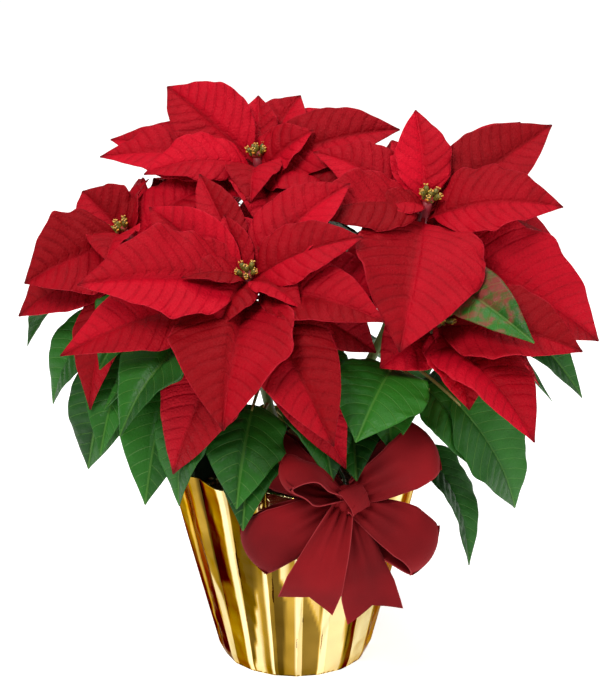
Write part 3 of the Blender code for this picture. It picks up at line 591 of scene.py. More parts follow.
def stemPoints(bloom, count):
    foot = Vector((0, 0, bloom.branchHeight))
    end = bloom.centre - bloom.axis * (bloomRules["coreLength"] + bloomRules["gap"])
    straight = end - bloom.axis * (3 * bloomRules["stemRadius"])
    outward = Vector((end.x, end.y, 0)).normalized()
    reach = (straight - foot).length
    leave = outward * 0.32 * reach + Vector((0, 0, 0.22 * reach))
    return bezier((foot, foot + leave, straight - bloom.axis * 0.3 * reach, straight), count) + [end]


def alongPoints(points, share):
    place = share * (len(points) - 1)
    index = min(int(place), len(points) - 2)
    return points[index].lerp(points[index + 1], place - index)


def blades(candidates, node, sizes):
    corners = cornersOf(node)
    found = [asPacked(blade, corners, sizes) for blade in candidates]
    return [blade for blade in found if blade]


# Materials of the plant

bractLook = {
    "sideVein": 0.30,  # where a side vein starts, from 0 midway between two of them to 0.5
    "midVein": (1.5, 0.2),  # mm from the midrib
    "netScale": 400.0,  # cells of the net between the veins are about 2.5 mm wide
    "cloud": (60.0, 0.5),
    "mixed": (0.1, 1.25),
    "tip": "#3A0406",
    "rim": "#D8283C",
    "through": 0.16,
}
leafLook = {
    "sideVein": 0.44,
    "midVein": (1.3, 0.4),
    "netScale": 420.0,
    "cloud": (55.0, 0.6),
    "mixed": (0.15, 1.3),
    "red": "#8A3034",
    "through": 0.12,
}


def bladeGround(tree, look, bright, deep):
    # what bracts and leaves share: their veins, the net between them and a mottled ground colour, which also
    # carries painted shade on one half of each blade
    place = addNode(tree, "TexCoord").outputs["Object"]
    facts = {
        name: addNode(tree, "Attribute", {"attribute_name": name}).outputs["Fac"]
        for name in ("veinPhase", "fromRib", "edgeShare", "alongShare", "bladeTint", "blush")
    }
    part = addNode(tree, "Math", {"operation": "FRACT"}, {0: facts["veinPhase"]}).outputs[0]
    centred = addNode(tree, "Math", {"operation": "SUBTRACT"}, {0: part, 1: 0.5}).outputs[0]
    nearVein = addNode(tree, "Math", {"operation": "ABSOLUTE"}, {0: centred}).outputs[0]
    smooth = {"interpolation_type": "SMOOTHSTEP"}
    sideRange = {"Value": nearVein, "From Min": look["sideVein"], "From Max": 0.5}
    sideVein = addNode(tree, "MapRange", smooth, sideRange).outputs[0]
    outside, inside = look["midVein"]
    midRange = {"Value": facts["fromRib"], "From Min": outside, "From Max": inside}
    midVein = addNode(tree, "MapRange", smooth, midRange).outputs[0]
    veins = addNode(tree, "Math", {"operation": "MAXIMUM"}, {0: sideVein, 1: midVein}).outputs[0]
    cells = {"Vector": place, "Scale": look["netScale"]}
    net = addNode(tree, "TexVoronoi", {"feature": "DISTANCE_TO_EDGE"}, cells)
    cloudScale, cloudPart = look["cloud"]
    cloud = addNode(tree, "TexNoise", {}, {"Vector": place, "Scale": cloudScale, "Detail": 3.0}).outputs["Fac"]
    # cloud mottle plus each blade's random tone and the painted shade on its one half
    blend = addNode(tree, "Math", {"operation": "MULTIPLY_ADD"}, {
        0: cloud, 1: cloudPart, 2: facts["bladeTint"],
    }).outputs[0]
    low, high = look["mixed"]
    mixed = addNode(tree, "MapRange", {}, {"Value": blend, "From Min": low, "From Max": high}).outputs[0]
    base = addNode(tree, "Mix", {"data_type": "RGBA"}, {
        0: mixed, 6: linear(bright), 7: linear(deep),
    }).outputs[2]
    return place, facts, veins, net.outputs["Distance"], cloud, base


def lightThrough(tree, shader, output, share, colour, bump):
    # thin living tissue lets some light through
    through = addNode(tree, "BsdfTranslucent", {}, {"Color": colour, "Normal": bump}).outputs[0]
    both = addNode(tree, "MixShader", {}, {0: share, 1: shader.outputs[0], 2: through}).outputs[0]
    tree.links.new(both, output.inputs["Surface"])


def bractMaterial(name, bright, deep, rib, sheen, gloss):
    # living bract: thin, velvety with fine hairs, its veins sunk and drawn in the rib colour, lit through from
    # behind; on the face the rib colour is darker, as painted shade in the sunk veins
    made, tree, shader, output = newMaterial(name)
    place, facts, veins, net, cloud, base = bladeGround(tree, bractLook, bright, deep)
    colour = {"data_type": "RGBA"}
    faint = addNode(tree, "MapRange", {}, {
        "Value": cloud, "From Min": 0.35, "From Max": 0.65, "To Max": 0.22,
    }).outputs[0]
    # veins drawn in the rib colour: on the face a darker red as painted shade in the sunk veins, on the back a
    # paler red
    veinAmount = addNode(tree, "Math", {"operation": "MULTIPLY"}, {0: veins, 1: faint}).outputs[0]
    veined = addNode(tree, "Mix", colour, {0: veinAmount, 6: base, 7: linear(rib)}).outputs[2]
    tip = addNode(tree, "MapRange", {}, {
        "Value": facts["alongShare"], "From Min": 0.93, "To Max": 0.7,
    }).outputs[0]
    tipped = addNode(tree, "Mix", colour, {0: tip, 6: veined, 7: linear(bractLook["tip"])}).outputs[2]
    rim = addNode(tree, "MapRange", {}, {
        "Value": facts["edgeShare"], "From Min": 0.965, "To Max": 0.45,
    }).outputs[0]
    rimmed = addNode(tree, "Mix", colour, {0: rim, 6: tipped, 7: linear(bractLook["rim"])}).outputs[2]
    # soft wrinkles about 4 mm apart
    crimp = addNode(tree, "TexNoise", {}, {"Vector": place, "Scale": 240.0, "Detail": 4.0}).outputs["Fac"]
    creased = addNode(tree, "Math", {"operation": "MULTIPLY_ADD"}, {0: crimp, 1: 1.1, 2: net}).outputs[0]
    relief = addNode(tree, "Math", {"operation": "MULTIPLY_ADD"}, {0: veins, 1: -0.7, 2: creased}).outputs[0]
    bump = addNode(tree, "Bump", {}, {
        "Height": relief, "Strength": 0.75, "Distance": 0.9 * mm,
    }).outputs["Normal"]
    setInputs(tree, shader, {
        "Base Color": rimmed,
        "Roughness": gloss,
        "Specular IOR Level": 0.1,
        "Sheen Weight": sheen,
        "Sheen Roughness": 0.45,
        "Sheen Tint": linear("#D0101C"),
        "Normal": bump,
    })
    lightThrough(tree, shader, output, bractLook["through"], rimmed, bump)
    return made


def leafMaterial(name, bright, deep, rib, gloss, back):
    # living leaf: waxy and ribbed, its veins pale; where blush is high the green turns red between the veins
    made, tree, shader, output = newMaterial(name)
    place, facts, veins, net, _, base = bladeGround(tree, leafLook, bright, deep)
    colour = {"data_type": "RGBA"}
    patches = addNode(tree, "TexNoise", {}, {"Vector": place, "Scale": 150.0, "Detail": 5.0}).outputs["Fac"]
    faded = addNode(tree, "MapRange", {}, {
        "Value": facts["alongShare"], "From Min": 0.35, "From Max": 0.95, "To Min": 1.0, "To Max": 0.35,
    }).outputs[0]
    amount = addNode(tree, "Math", {"operation": "MULTIPLY"}, {0: facts["blush"], 1: faded}).outputs[0]
    raised = addNode(tree, "Math", {"operation": "MULTIPLY_ADD"}, {0: patches, 1: 1.2, 2: amount}).outputs[0]
    redShare = addNode(tree, "MapRange", {"interpolation_type": "SMOOTHSTEP"}, {
        "Value": raised, "From Min": 0.85, "From Max": 1.25, "To Max": 0.85,
    }).outputs[0]
    turning = addNode(tree, "Math", {"operation": "GREATER_THAN"}, {0: facts["blush"], 1: 0.05}).outputs[0]
    redPart = addNode(tree, "Math", {"operation": "MULTIPLY"}, {0: redShare, 1: turning}).outputs[0]
    blushed = addNode(tree, "Mix", colour, {0: redPart, 6: base, 7: linear(leafLook["red"])}).outputs[2]
    veinAmount = addNode(tree, "Math", {"operation": "MULTIPLY"}, {0: veins, 1: 0.28}).outputs[0]
    veined = addNode(tree, "Mix", colour, {0: veinAmount, 6: blushed, 7: linear(rib)}).outputs[2]
    # veins are sunk on the face of a leaf and stand out on its back
    relief = addNode(tree, "Math", {"operation": "MULTIPLY_ADD"}, {
        0: veins, 1: 0.8 if back else -0.8, 2: net,
    }).outputs[0]
    bump = addNode(tree, "Bump", {}, {
        "Height": relief, "Strength": 0.6, "Distance": 0.5 * mm,
    }).outputs["Normal"]
    setInputs(tree, shader, {
        "Base Color": veined, "Roughness": gloss, "Specular IOR Level": 0.2, "Normal": bump,
    })
    lightThrough(tree, shader, output, leafLook["through"], veined, bump)
    return made


def stemMaterial(name, green, brown, low, high, gloss):
    # young wood and stalks: green skin that turns from one colour to the other with height, finely streaked
    made, tree, shader, _ = newMaterial(name)
    place = addNode(tree, "TexCoord").outputs["Object"]
    height = addNode(tree, "SeparateXYZ", {}, {0: place}).outputs["Z"]
    streaks = addNode(tree, "Mapping", {}, {"Vector": place, "Scale": (900, 900, 90)}).outputs[0]
    grain = addNode(tree, "TexNoise", {}, {"Vector": streaks, "Scale": 1.0, "Detail": 3.0}).outputs["Fac"]
    uneven = addNode(tree, "Math", {"operation": "MULTIPLY_ADD"}, {0: grain, 1: 30 * mm, 2: height}).outputs[0]
    share = addNode(tree, "MapRange", {}, {"Value": uneven, "From Min": low, "From Max": high}).outputs[0]
    base = addNode(tree, "Mix", {"data_type": "RGBA"}, {
        0: share, 6: linear(brown), 7: linear(green),
    }).outputs[2]
    bump = addNode(tree, "Bump", {}, {"Height": grain, "Strength": 0.4, "Distance": 0.3 * mm}).outputs["Normal"]
    setInputs(tree, shader, {"Base Color": base, "Roughness": gloss, "Normal": bump})
    return made


# the face's dark rib colour is painted shade in the sunk veins
bractTop = bractMaterial("bractVelvet", "#D00826", "#8C0410", "#56020A", 0.05, 0.62)
bractBack = bractMaterial("bractUnderside", "#A00A1A", "#760610", "#A82030", 0.05, 0.6)
leafTop = leafMaterial("leafWaxed", "#2F7420", "#123E0E", "#6C9C42", 0.42, False)
leafBack = leafMaterial("leafUnderside", "#5D7F4C", "#49693F", "#93AE7A", 0.6, True)
stemSkin = stemMaterial("stemGreenWood", "#6E8A3C", "#5E5A2E", 0.15, 0.27, 0.5)
leafStalk = stemMaterial("leafStalkBlushed", "#8A5A3A", "#7D8A3E", 0.12, 0.40, 0.45)
bractStalk = stemMaterial("bractStalk", "#8E2430", "#6E8A3C", 0.24, 0.33, 0.5)


def makeBloom(bloom, seed):
    node = "bloom_" + bloom.name
    found = blades(bractsByHand(bloom), node, (1.0, 0.88)) + blades(bractsByRule(bloom, seed), node, (1.0, 0.8))
    sheets = bladeSheets(found, bractSpec, node)
    foot = bloom.centre - bloom.axis * bloomRules["coreLength"]
    steps = [foot.lerp(bloom.centre, share) for share in (0, 0.3, 0.6, 0.85, 1)]
    radii = [bloomRules["coreRadius"] * girth for girth in (1, 0.92, 0.9, 0.95, 0.85)]
    core = tubeAlong(node + "_core", steps, radii, 18)
    made = joined(node + "_bracts", [(sheets, 0), (core, 2)], [bractTop, bractBack, bractStalk])
    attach(made, "root")
    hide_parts(node)
    return len(found)


def makeLeafyStem(bloom, seed):
    node = "leafy_stem_" + bloom.name
    coarse = stemPoints(bloom, bloomRules["stemPoints"])
    found = blades(leavesByHand(bloom, coarse), node, (1.0, 0.88))
    found += blades(leavesByRule(bloom, coarse, seed), node, (1.0, 0.8))
    pieces = [(bladeSheets(found, leafSpec, node), 0)]
    radius = bloomRules["stemRadius"]
    line = stemPoints(bloom, 22)
    swell = [
        radius * (1.0 + 0.10 * math.sin(index * 2.4) ** 2 - 0.15 * index / len(line))
        for index in range(len(line))
    ]
    pieces.append((tubeAlong(node + "_stem", line[1:], swell[1:], 18), 2))
    for index, blade in enumerate(found):
        reach = blade.stalk + bloomRules["stalkLap"]
        steps = [midrib(blade, reach * share) for share in (0, 0.1, 0.25, 0.5, 0.75, 0.9, 1)]
        thin = bloomRules["leafStalkRadius"]
        radii = [thin * girth for girth in (1.35, 1.1, 0.95, 0.9, 0.9, 0.85, 0.6)]
        pieces.append((tubeAlong(node + "_stalk" + str(index), steps, radii, 10), 3))
    made = joined(node + "_leaves", pieces, [leafTop, leafBack, stemSkin, leafStalk])
    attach(made, "root")
    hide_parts(node)
    return len(found)


for seed, bloom in enumerate(blooms):
    print(bloom.name, makeBloom(bloom, seed), "bracts", makeLeafyStem(bloom, seed), "leaves")


# Flower clusters: green-gold cups, each with one yellow gland and a few stamens

cyathiaSpec = {
    "buds": 6,
    "budLength": 7 * mm,
    "domeRadius": 4.2 * mm,
    "cup": ((0, -3.4), (0.8, -3.3), (1.35, -2.2), (1.75, -0.6), (1.9, 0.8), (1.75, 2.0), (1.35, 2.9),
            (0.95, 3.1), (0.8, 2.6), (0, 2.2)),  # radius and height in mm
    "stamens": 5,
}


def waxMaterial(name, low, high, span, gloss):
    # waxy living tissue of the cups, glands and anthers: lit a little from inside, mottled at about 1 mm
    return mottledMaterial(name, low, high, gloss, 900.0, 2.0, span, (0.3, 0.15), {
        "Subsurface Weight": 0.15,
        "Subsurface Radius": (2 * mm, 1.2 * mm, 0.4 * mm),
        "Subsurface Scale": 1.0,
    })


cupGreen = waxMaterial("cyathiumCup", "#3E4214", "#93852A", (0.35, 0.7), 0.45)
glandYellow = waxMaterial("nectarGland", "#DC8C18", "#F2B848", (0.35, 0.65), 0.3)
antherGold = waxMaterial("stamenAnther", "#C8801A", "#F0CC70", (0.3, 0.7), 0.6)
filamentRed = waxMaterial("stamenFilament", "#7A1418", "#B43A2A", (0.3, 0.7), 0.5)


def paint(faces, index):
    for face in faces:
        face.material_index = index
        face.smooth = True


def spun(profile, steps):
    # a closed solid of revolution about Z; the profile runs from axis to axis
    bm = bmesh.new()
    verts = [bm.verts.new((radius * mm, 0, height * mm)) for radius, height in profile]
    edges = [bm.edges.new(pair) for pair in zip(verts, verts[1:])]
    bmesh.ops.spin(
        bm, geom=verts + edges, axis=(0, 0, 1), cent=(0, 0, 0), angle=2 * math.pi, steps=steps, use_merge=True,
    )
    bmesh.ops.remove_doubles(bm, verts=bm.verts, dist=0.001 * mm)
    bmesh.ops.recalc_face_normals(bm, faces=bm.faces)
    return bm


def ball(bm, centre, scale, material, aim=Vector((0, 0, 1)), detail=(10, 7)):
    # a round lump, stretched by scale with its third axis along aim
    before = len(bm.faces)
    turn = aim.to_track_quat("Z", "Y").to_matrix().to_4x4()
    place = Matrix.Translation(centre) @ turn @ Matrix.Diagonal((*scale, 1))
    bmesh.ops.create_uvsphere(bm, u_segments=detail[0], v_segments=detail[1], radius=1, matrix=place)
    bm.faces.ensure_lookup_table()
    paint(bm.faces[before:], material)


def addCup(target, place, out, draw):
    # one flower cup at place, its gland on the side that faces out
    bm = spun(cyathiaSpec["cup"], 16)
    paint(bm.faces, 0)
    gland = (out * 1.75 + Vector((0, 0, 1.3))) * mm
    ball(bm, gland, (1.15 * mm, 0.85 * mm, 0.9 * mm), 1, out, (12, 8))
    lip = gland + out * 0.35 * mm + Vector((0, 0, 0.25 * mm))
    ball(bm, lip, (0.8 * mm, 0.75 * mm, 0.45 * mm), 1, out, (12, 8))
    for index in range(cyathiaSpec["stamens"]):
        turn = 2 * math.pi * (index + draw.random() * 0.6) / cyathiaSpec["stamens"]
        lean = Vector((math.cos(turn), math.sin(turn), 2.2)).normalized()
        start = Vector((math.cos(turn), math.sin(turn), 0)) * 0.5 * mm + Vector((0, 0, 2.2 * mm))
        reach = draw.uniform(1.4, 2.4) * mm
        ball(bm, start + lean * reach / 2, (0.16 * mm, 0.16 * mm, reach / 2), 3, lean, (6, 4))
        ball(bm, start + lean * reach, (0.5 * mm, 0.55 * mm, 0.46 * mm), 2, lean, (8, 6))
    bmesh.ops.transform(bm, matrix=place, verts=bm.verts)
    mesh = bpy.data.meshes.new("cup")
    bm.to_mesh(mesh)
    bm.free()
    target.from_mesh(mesh)
    bpy.data.meshes.remove(mesh)


def makeCyathia(bloom):
    node = "cyathia_" + bloom.name
    draw = random.Random(len(bloom.name))
    detail = random.Random(node)
    foot = bloom.centre + bloom.axis * bloomRules["gap"]
    sideways = bloom.axis.orthogonal().normalized()
    count = cyathiaSpec["buds"]
    bm = bmesh.new()
    dome = cyathiaSpec["domeRadius"]
    ball(bm, foot + bloom.axis * 0.9 * mm, (dome, dome, 2.6 * mm), 3, bloom.axis, (20, 12))
    for index in range(count):
        out = Quaternion(bloom.axis, 2 * math.pi * index / (count - 1) + draw.uniform(-0.15, 0.15)) @ sideways
        lean = 0.62 if index < count - 1 else 0.0
        way = (bloom.axis + out * lean).normalized()
        start = foot + out * (0.55 * dome if index < count - 1 else 0) + way * 1.0 * mm
        middle = start + way * (cyathiaSpec["budLength"] * draw.uniform(0.5, 0.7))
        turn = way.to_track_quat("Z", "Y")
        place = Matrix.Translation(middle) @ turn.to_matrix().to_4x4()
        aside = (turn.inverted() @ out).cross(Vector((0, 0, 1)))
        outside = Vector((0, 0, 1)).cross(aside).normalized() if lean else Vector((0, 1, 0))
        addCup(bm, place, outside, detail)
    for index in range(4):
        # young cups still closed, low between the open ones
        out = Quaternion(bloom.axis, 2 * math.pi * (index + 0.5) / 4 + 0.4) @ sideways
        way = (bloom.axis + out * 0.9).normalized()
        ball(bm, foot + out * 0.75 * dome + way * 2.4 * mm, (1.0 * mm, 1.0 * mm, 1.7 * mm), 0, way, (12, 9))
        ball(bm, foot + out * 0.75 * dome + way * 4.0 * mm, (0.55 * mm, 0.55 * mm, 0.45 * mm), 3, way, (8, 6))
    made = objectFrom(bm, node + "_cups", [cupGreen, glandYellow, antherGold, filamentRed])
    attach(made, "root")
    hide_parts(node)


for bloom in blooms:
    makeCyathia(bloom)
print("flower clusters made")


# Foil cover: gold-coloured film drawn up from a disc, in flat panels between sharp creases

foilSpec = {
    # height, radius and depth of the creases, in mm
    "rings": (
        (0, 53.5, 0.4), (7, 56.5, 0.9), (50, 66.5, 2.0), (100, 78.5, 3.0), (142, 88, 3.6), (158, 92.5, 4.6),
    ),
    "pleats": 17,
    "widePanel": (11, 19),  # degrees
    "narrowPanel": (3, 7),
    "edgeRag": 3.5,
    "seed": 11,
    "thickness": 0.25 * mm,
    "columns": 8,  # steps in a panel
    "rows": 84,
    "dent": 2.6 * mm,
    "sharpAngle": math.radians(11),
    "reflectionSeed": 23,
    # painted reflections in the film's colour in the front panels, from a dark reflection in deep bronze 0 to a
    # bright one in pale gold 1, at the foot and at the rim: chosen here, and random in the other panels
    "frontPanelReflections": {
        16: (0.3, 0.15), 17: (0.1, 0.2), 18: (0.06, 0.3), 19: (0.8, 0.35), 20: (0.3, 0.05), 21: (1.0, 0.9),
        22: (0.85, 0.12), 23: (1.0, 0.75), 24: (0.12, 0.8), 25: (0.75, 0.95), 26: (0.2, 0.6), 27: (0.95, 0.8),
        28: (0.8, 0.35), 29: (0.15, 0.3), 30: (0.95, 0.6), 31: (0.3, 0.15), 32: (0.7, 0.5),
    },
}


def foilCreases():
    draw = random.Random(foilSpec["seed"])
    spans = []
    for _ in range(foilSpec["pleats"]):
        spans += [draw.uniform(*foilSpec["widePanel"]), draw.uniform(*foilSpec["narrowPanel"])]
    creases = []
    angle = 0.0
    for index, span in enumerate(spans):
        stand = (1 if index % 2 else -1) * draw.uniform(0.4, 1.0)
        creases.append((angle * 2 * math.pi / sum(spans), stand, draw.uniform(-1, 1)))
        angle += span
    return creases


def foilPoint(creases, crease, height):
    angle, stand, rag = creases[crease % len(creases)]
    rings = foilSpec["rings"]
    level = max(index for index in range(len(rings) - 1) if rings[index][0] <= height)
    (low, inner, shallow), (high, outer, deep) = rings[level], rings[level + 1]
    share = (height - low) / (high - low)
    reach = (inner + (outer - inner) * share + stand * (shallow + (deep - shallow) * share)) * mm
    lift = rag * foilSpec["edgeRag"] * share if level == len(rings) - 2 else 0
    return Vector((reach * math.cos(angle), reach * math.sin(angle), (height + lift) * mm))


def dentOf(point, share):
    # how far crumpled film stands off its flat panel: broad facets, sharp ridges, calm at the creases
    broad = Vector((point.x, point.y, point.z * 0.55)) / (24 * mm)
    fine = Vector((point.x, point.y, point.z * 0.8)) / (9 * mm)
    facet = noise.voronoi(broad)[0]
    small = noise.voronoi(fine)[0]
    calm = min(1, 5 * share * (1 - share) + 0.12) * min(1, point.z / (10 * mm))
    return ((facet[0] - 0.45) * foilSpec["dent"] + (small[0] - 0.4) * 0.28 * foilSpec["dent"]) * calm


def panelTone(reflectionTones, panel, share, height):
    # a panel is split, as by a slanting fold across it and one along it, into parts that each get a painted
    # reflection tone of their own, as if they mirrored another side of the room
    foot, rim, turn, slant, flap, start, end = reflectionTones[panel]
    step = min(1, max(0, (height - turn - slant * (share - 0.5)) / 0.04 + 0.5))
    tone = foot + (rim - foot) * step
    aside = min(1, max(0, (share - start - (end - start) * height) / 0.12))
    return tone + (flap - tone) * aside


def foilTones(count):
    draw = random.Random(foilSpec["reflectionSeed"])
    reflectionTones = []
    for panel in range(count):
        foot, rim = foilSpec["frontPanelReflections"].get(panel, (draw.random(), draw.random()))
        reflectionTones.append((foot, rim, draw.uniform(0.25, 0.65), draw.uniform(-0.9, 0.9),
                      draw.random(), draw.uniform(0.1, 1.3), draw.uniform(0.1, 1.3)))
    return reflectionTones


def foilMaterial():
    # metallised polyester film: mirror gloss, gold lacquer that goes deep amber at grazing folds, fine handling
    # creases; its colour also carries painted reflections, panel by panel from near-black bronze to pale gold
    made, tree, shader, _ = newMaterial("goldFilm")
    place = addNode(tree, "TexCoord").outputs["Object"]
    broad = addNode(tree, "TexNoise", {}, {"Vector": place, "Scale": 22.0, "Detail": 2.0}).outputs["Fac"]
    share = addNode(tree, "MapRange", {}, {"Value": broad, "From Min": 0.35, "From Max": 0.65}).outputs[0]
    tone = addNode(tree, "Attribute", {"attribute_name": "filmTone"}).outputs["Fac"]
    # painted reflection: tone 0 paints a dark reflection in near-black bronze, 0.5 the amber gold film, 1 a
    # bright reflection in pale gold
    lowHalf = addNode(tree, "MapRange", {}, {"Value": tone, "From Max": 0.5}).outputs[0]
    highHalf = addNode(tree, "MapRange", {}, {"Value": tone, "From Min": 0.5}).outputs[0]
    amber = addNode(tree, "Mix", {"data_type": "RGBA"}, {
        0: share, 6: linear("#8A6A1C"), 7: linear("#C8A040"),
    }).outputs[2]
    deep = addNode(tree, "Mix", {"data_type": "RGBA"}, {0: lowHalf, 6: linear("#1E0F04"), 7: amber}).outputs[2]
    base = addNode(tree, "Mix", {"data_type": "RGBA"}, {0: highHalf, 6: deep, 7: linear("#FFF0B8")}).outputs[2]
    # handling creases about 7 mm apart and 1 mm wide
    cells = addNode(tree, "TexVoronoi", {"feature": "DISTANCE_TO_EDGE"}, {
        "Vector": place, "Scale": 130.0,
    }).outputs["Distance"]
    ridge = addNode(tree, "MapRange", {}, {"Value": cells, "From Max": 0.12}).outputs[0]
    dull = addNode(tree, "MapRange", {}, {
        "Value": broad, "From Min": 0.3, "From Max": 0.7, "To Min": 0.06, "To Max": 0.16,
    }).outputs[0]
    bump = addNode(tree, "Bump", {}, {
        "Height": ridge, "Strength": 0.25, "Distance": 0.25 * mm,
    }).outputs["Normal"]
    setInputs(tree, shader, {"Base Color": base, "Metallic": 1.0, "Roughness": dull, "Normal": bump,
                             "Specular Tint": linear("#A87A30")})
    return made


def makeFoil():
    creases = foilCreases()
    steps = foilSpec["columns"]
    columns = len(creases) * steps
    rows = foilSpec["rows"]
    top = foilSpec["rings"][-1][0]
    reflectionTones = foilTones(len(creases))

    def place(column, row):
        crease, share = divmod(column % columns, steps)
        share /= steps
        height = top * row / rows
        one, two = foilPoint(creases, crease, height), foilPoint(creases, crease + 1, height)
        point = one.lerp(two, share)
        outward = (two - one).cross(Vector((0, 0, 1))).normalized()
        return point + outward * dentOf(point, share)

    bm = bmesh.new()
    filmTone = bm.verts.layers.float.new("filmTone")
    for vert in bmesh.ops.create_grid(bm, x_segments=columns, y_segments=rows, size=1)["verts"]:
        column, row = round((vert.co.x + 1) / 2 * columns), round((vert.co.y + 1) / 2 * rows)
        panel, share = divmod(column % columns, steps)
        vert.co = place(column, row)
        # each panel part's painted reflection tone
        vert[filmTone] = panelTone(reflectionTones, panel, share / steps, row / rows)
    disc = bmesh.ops.create_circle(bm, cap_ends=True, segments=columns, radius=1)["verts"]
    for column, vert in enumerate(disc):
        vert.co = place(column, 0)
    bmesh.ops.remove_doubles(bm, verts=bm.verts, dist=0.01 * mm)
    bmesh.ops.recalc_face_normals(bm, faces=bm.faces)
    for face in bm.faces:
        face.smooth = True
    made = objectFrom(bm, "foil_cover", [foilMaterial()])
    made.data.set_sharp_from_angle(angle=foilSpec["sharpAngle"])
    wall = made.modifiers.new("wall", "SOLIDIFY")
    wall.thickness = foilSpec["thickness"]
    wall.offset = -1
    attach(made, "root")
    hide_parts("foil_wrap")


makeFoil()
print("foil cover made")


# Pot, potting mix, trunk and pick

def mixMaterial():
    # damp peat mix: crumbs of 1 to 4 mm, nearly black in the gaps
    made, tree, shader, _ = newMaterial("peatMix")
    place = addNode(tree, "TexCoord").outputs["Object"]
    crumbs = addNode(tree, "TexVoronoi", {}, {"Vector": place, "Scale": 420.0}).outputs["Distance"]
    cloud = addNode(tree, "TexNoise", {}, {"Vector": place, "Scale": 160.0, "Detail": 5.0}).outputs["Fac"]
    share = addNode(tree, "MapRange", {}, {"Value": cloud, "From Min": 0.3, "From Max": 0.7}).outputs[0]
    base = addNode(tree, "Mix", {"data_type": "RGBA"}, {
        0: share, 6: linear("#1E130C"), 7: linear("#4A3220"),
    }).outputs[2]
    height = addNode(tree, "Math", {"operation": "SUBTRACT"}, {0: cloud, 1: crumbs}).outputs[0]
    bump = addNode(tree, "Bump", {}, {
        "Height": height, "Strength": 0.8, "Distance": 1.5 * mm,
    }).outputs["Normal"]
    setInputs(tree, shader, {"Base Color": base, "Roughness": 0.92, "Specular IOR Level": 0.25, "Normal": bump})
    return made


def plainMaterial(name, low, high, scale, gloss):
    # small hard pieces, mottled at 1 to 2.5 mm
    return mottledMaterial(name, low, high, gloss, scale, 3.0, (0.3, 0.7), (0.6, 0.4))


def dress(node, material):
    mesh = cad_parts[node].data
    mesh.materials.clear()
    mesh.materials.append(material)


crumbSpec = {"seed": 5, "count": 260, "top": 126, "crown": 5, "reach": 66, "size": (0.9, 2.6)}  # sizes in mm


def makeCrumbs():
    # perlite and bark crumbs that lie half sunk in the potting mix
    draw = random.Random(crumbSpec["seed"])
    bm = bmesh.new()
    for index in range(crumbSpec["count"]):
        reach = crumbSpec["reach"] * math.sqrt(draw.uniform(0.03, 1))
        angle = draw.uniform(0, 2 * math.pi)
        height = crumbSpec["top"] + crumbSpec["crown"] * max(0, 1 - (reach / crumbSpec["reach"]) ** 1.6)
        centre = Vector((reach * math.cos(angle), reach * math.sin(angle), height + 0.3)) * mm
        size = draw.uniform(*crumbSpec["size"]) * mm
        flat = Vector((draw.uniform(0.7, 1.2), draw.uniform(0.7, 1.2), draw.uniform(0.4, 0.8))) * size
        before = len(bm.faces)
        lump = bmesh.ops.create_icosphere(bm, subdivisions=2, radius=1)["verts"]
        turn = Matrix.Rotation(draw.uniform(0, 6.28), 3, "Z")
        for vert in lump:
            rough = 1 + 0.35 * noise.noise(vert.co * 1.7 + Vector((index, 0, 0)))
            squashed = Vector((vert.co.x * flat.x, vert.co.y * flat.y, vert.co.z * flat.z))
            vert.co = centre + turn @ squashed * rough
        bm.faces.ensure_lookup_table()
        paint(bm.faces[before:], 0 if index % 3 == 0 else 1)  # every third one is perlite
    # perlite is white, chalky expanded glass; bark crumbs are brown and fibrous
    perlite = plainMaterial("perlite", "#CFC8B8", "#ECE8DC", 900.0, 0.9)
    bark = plainMaterial("barkCrumb", "#3A2516", "#6A482C", 500.0, 0.85)
    made = objectFrom(bm, "potting_mix_crumbs", [perlite, bark])
    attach(made, "root")


# injection-moulded polypropylene: satin, slightly uneven, with fine flow marks
potPlastic = mottledMaterial(
    "pottingPolypropylene", "#16301F", "#1F3F2A", 0.42, 700.0, 2.0, (0.3, 0.7), (0.2, 0.1),
)
dress("nursery_pot", potPlastic)
dress("soil", mixMaterial())
dress("trunk", stemMaterial("trunkBark", "#6B6A34", "#6A5236", 0.12, 0.20, 0.7))
makeCrumbs()
wireRoute = ((35, -95.9, 164), (34, -92, 172), (30, -78, 175), (26, -63, 156), (24, -58, 104))  # mm
wirePoints = [Vector(point) * mm for point in wireRoute]
# enamel dipped on steel wire: even green, half gloss
wireEnamel = plainMaterial("wireEnamel", "#1F4A2C", "#2C6038", 400.0, 0.35)
wire = tubeAlong("bow_pick_wire", wirePoints, [0.9 * mm] * len(wirePoints), 12)
wire.data.materials.append(wireEnamel)
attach(wire, "root")
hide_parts("bow_pick")
print("pot, mix, trunk and pick dressed")


# Bow: velvet ribbon in loops and two tails, gathered into a knot

bowSpec = {
    "knot": Vector((35, -107.5, 163)) * mm,
    "knotRadius": 10 * mm,
    "thickness": 0.7 * mm,
    "pinchWidth": 9 * mm,
    "pinchRise": 2.5 * mm,
    "knotShare": 0.11,  # share of a loop's length that lies in the knot
    "pleat": 2.0 * mm,
    "tailNotch": 11 * mm,
    "ribbonWidth": 40 * mm,
}
loopTable = {
    # name: way out from the knot, way its front faces, length, depth, width and cut length of ribbon in mm
    "bow_loop_lower_left": ((-0.84, 0.03, -0.50), (-0.25, -0.92, 0.14), 80, 11, 40, 154),
    "bow_loop_back_left": ((-0.80, 0.50, 0.30), (0.50, -0.86, -0.10), 76, 9, 38, 144),
    "bow_loop_upper_left": ((-0.76, -0.42, 0.52), (0.30, -0.25, 0.93), 58, 9, 30, 114),
    "bow_loop_upper_right": ((0.84, 0.26, 0.50), (0.20, -0.92, 0.15), 72, 11, 40, 141),
    "bow_loop_lower_right": ((0.80, 0.04, -0.58), (0.40, -0.76, 0.40), 74, 12, 40, 146),
    "bow_loop_middle": ((0.50, -0.84, 0.24), (-0.40, -0.02, 0.90), 19, 8, 16, 49),
}
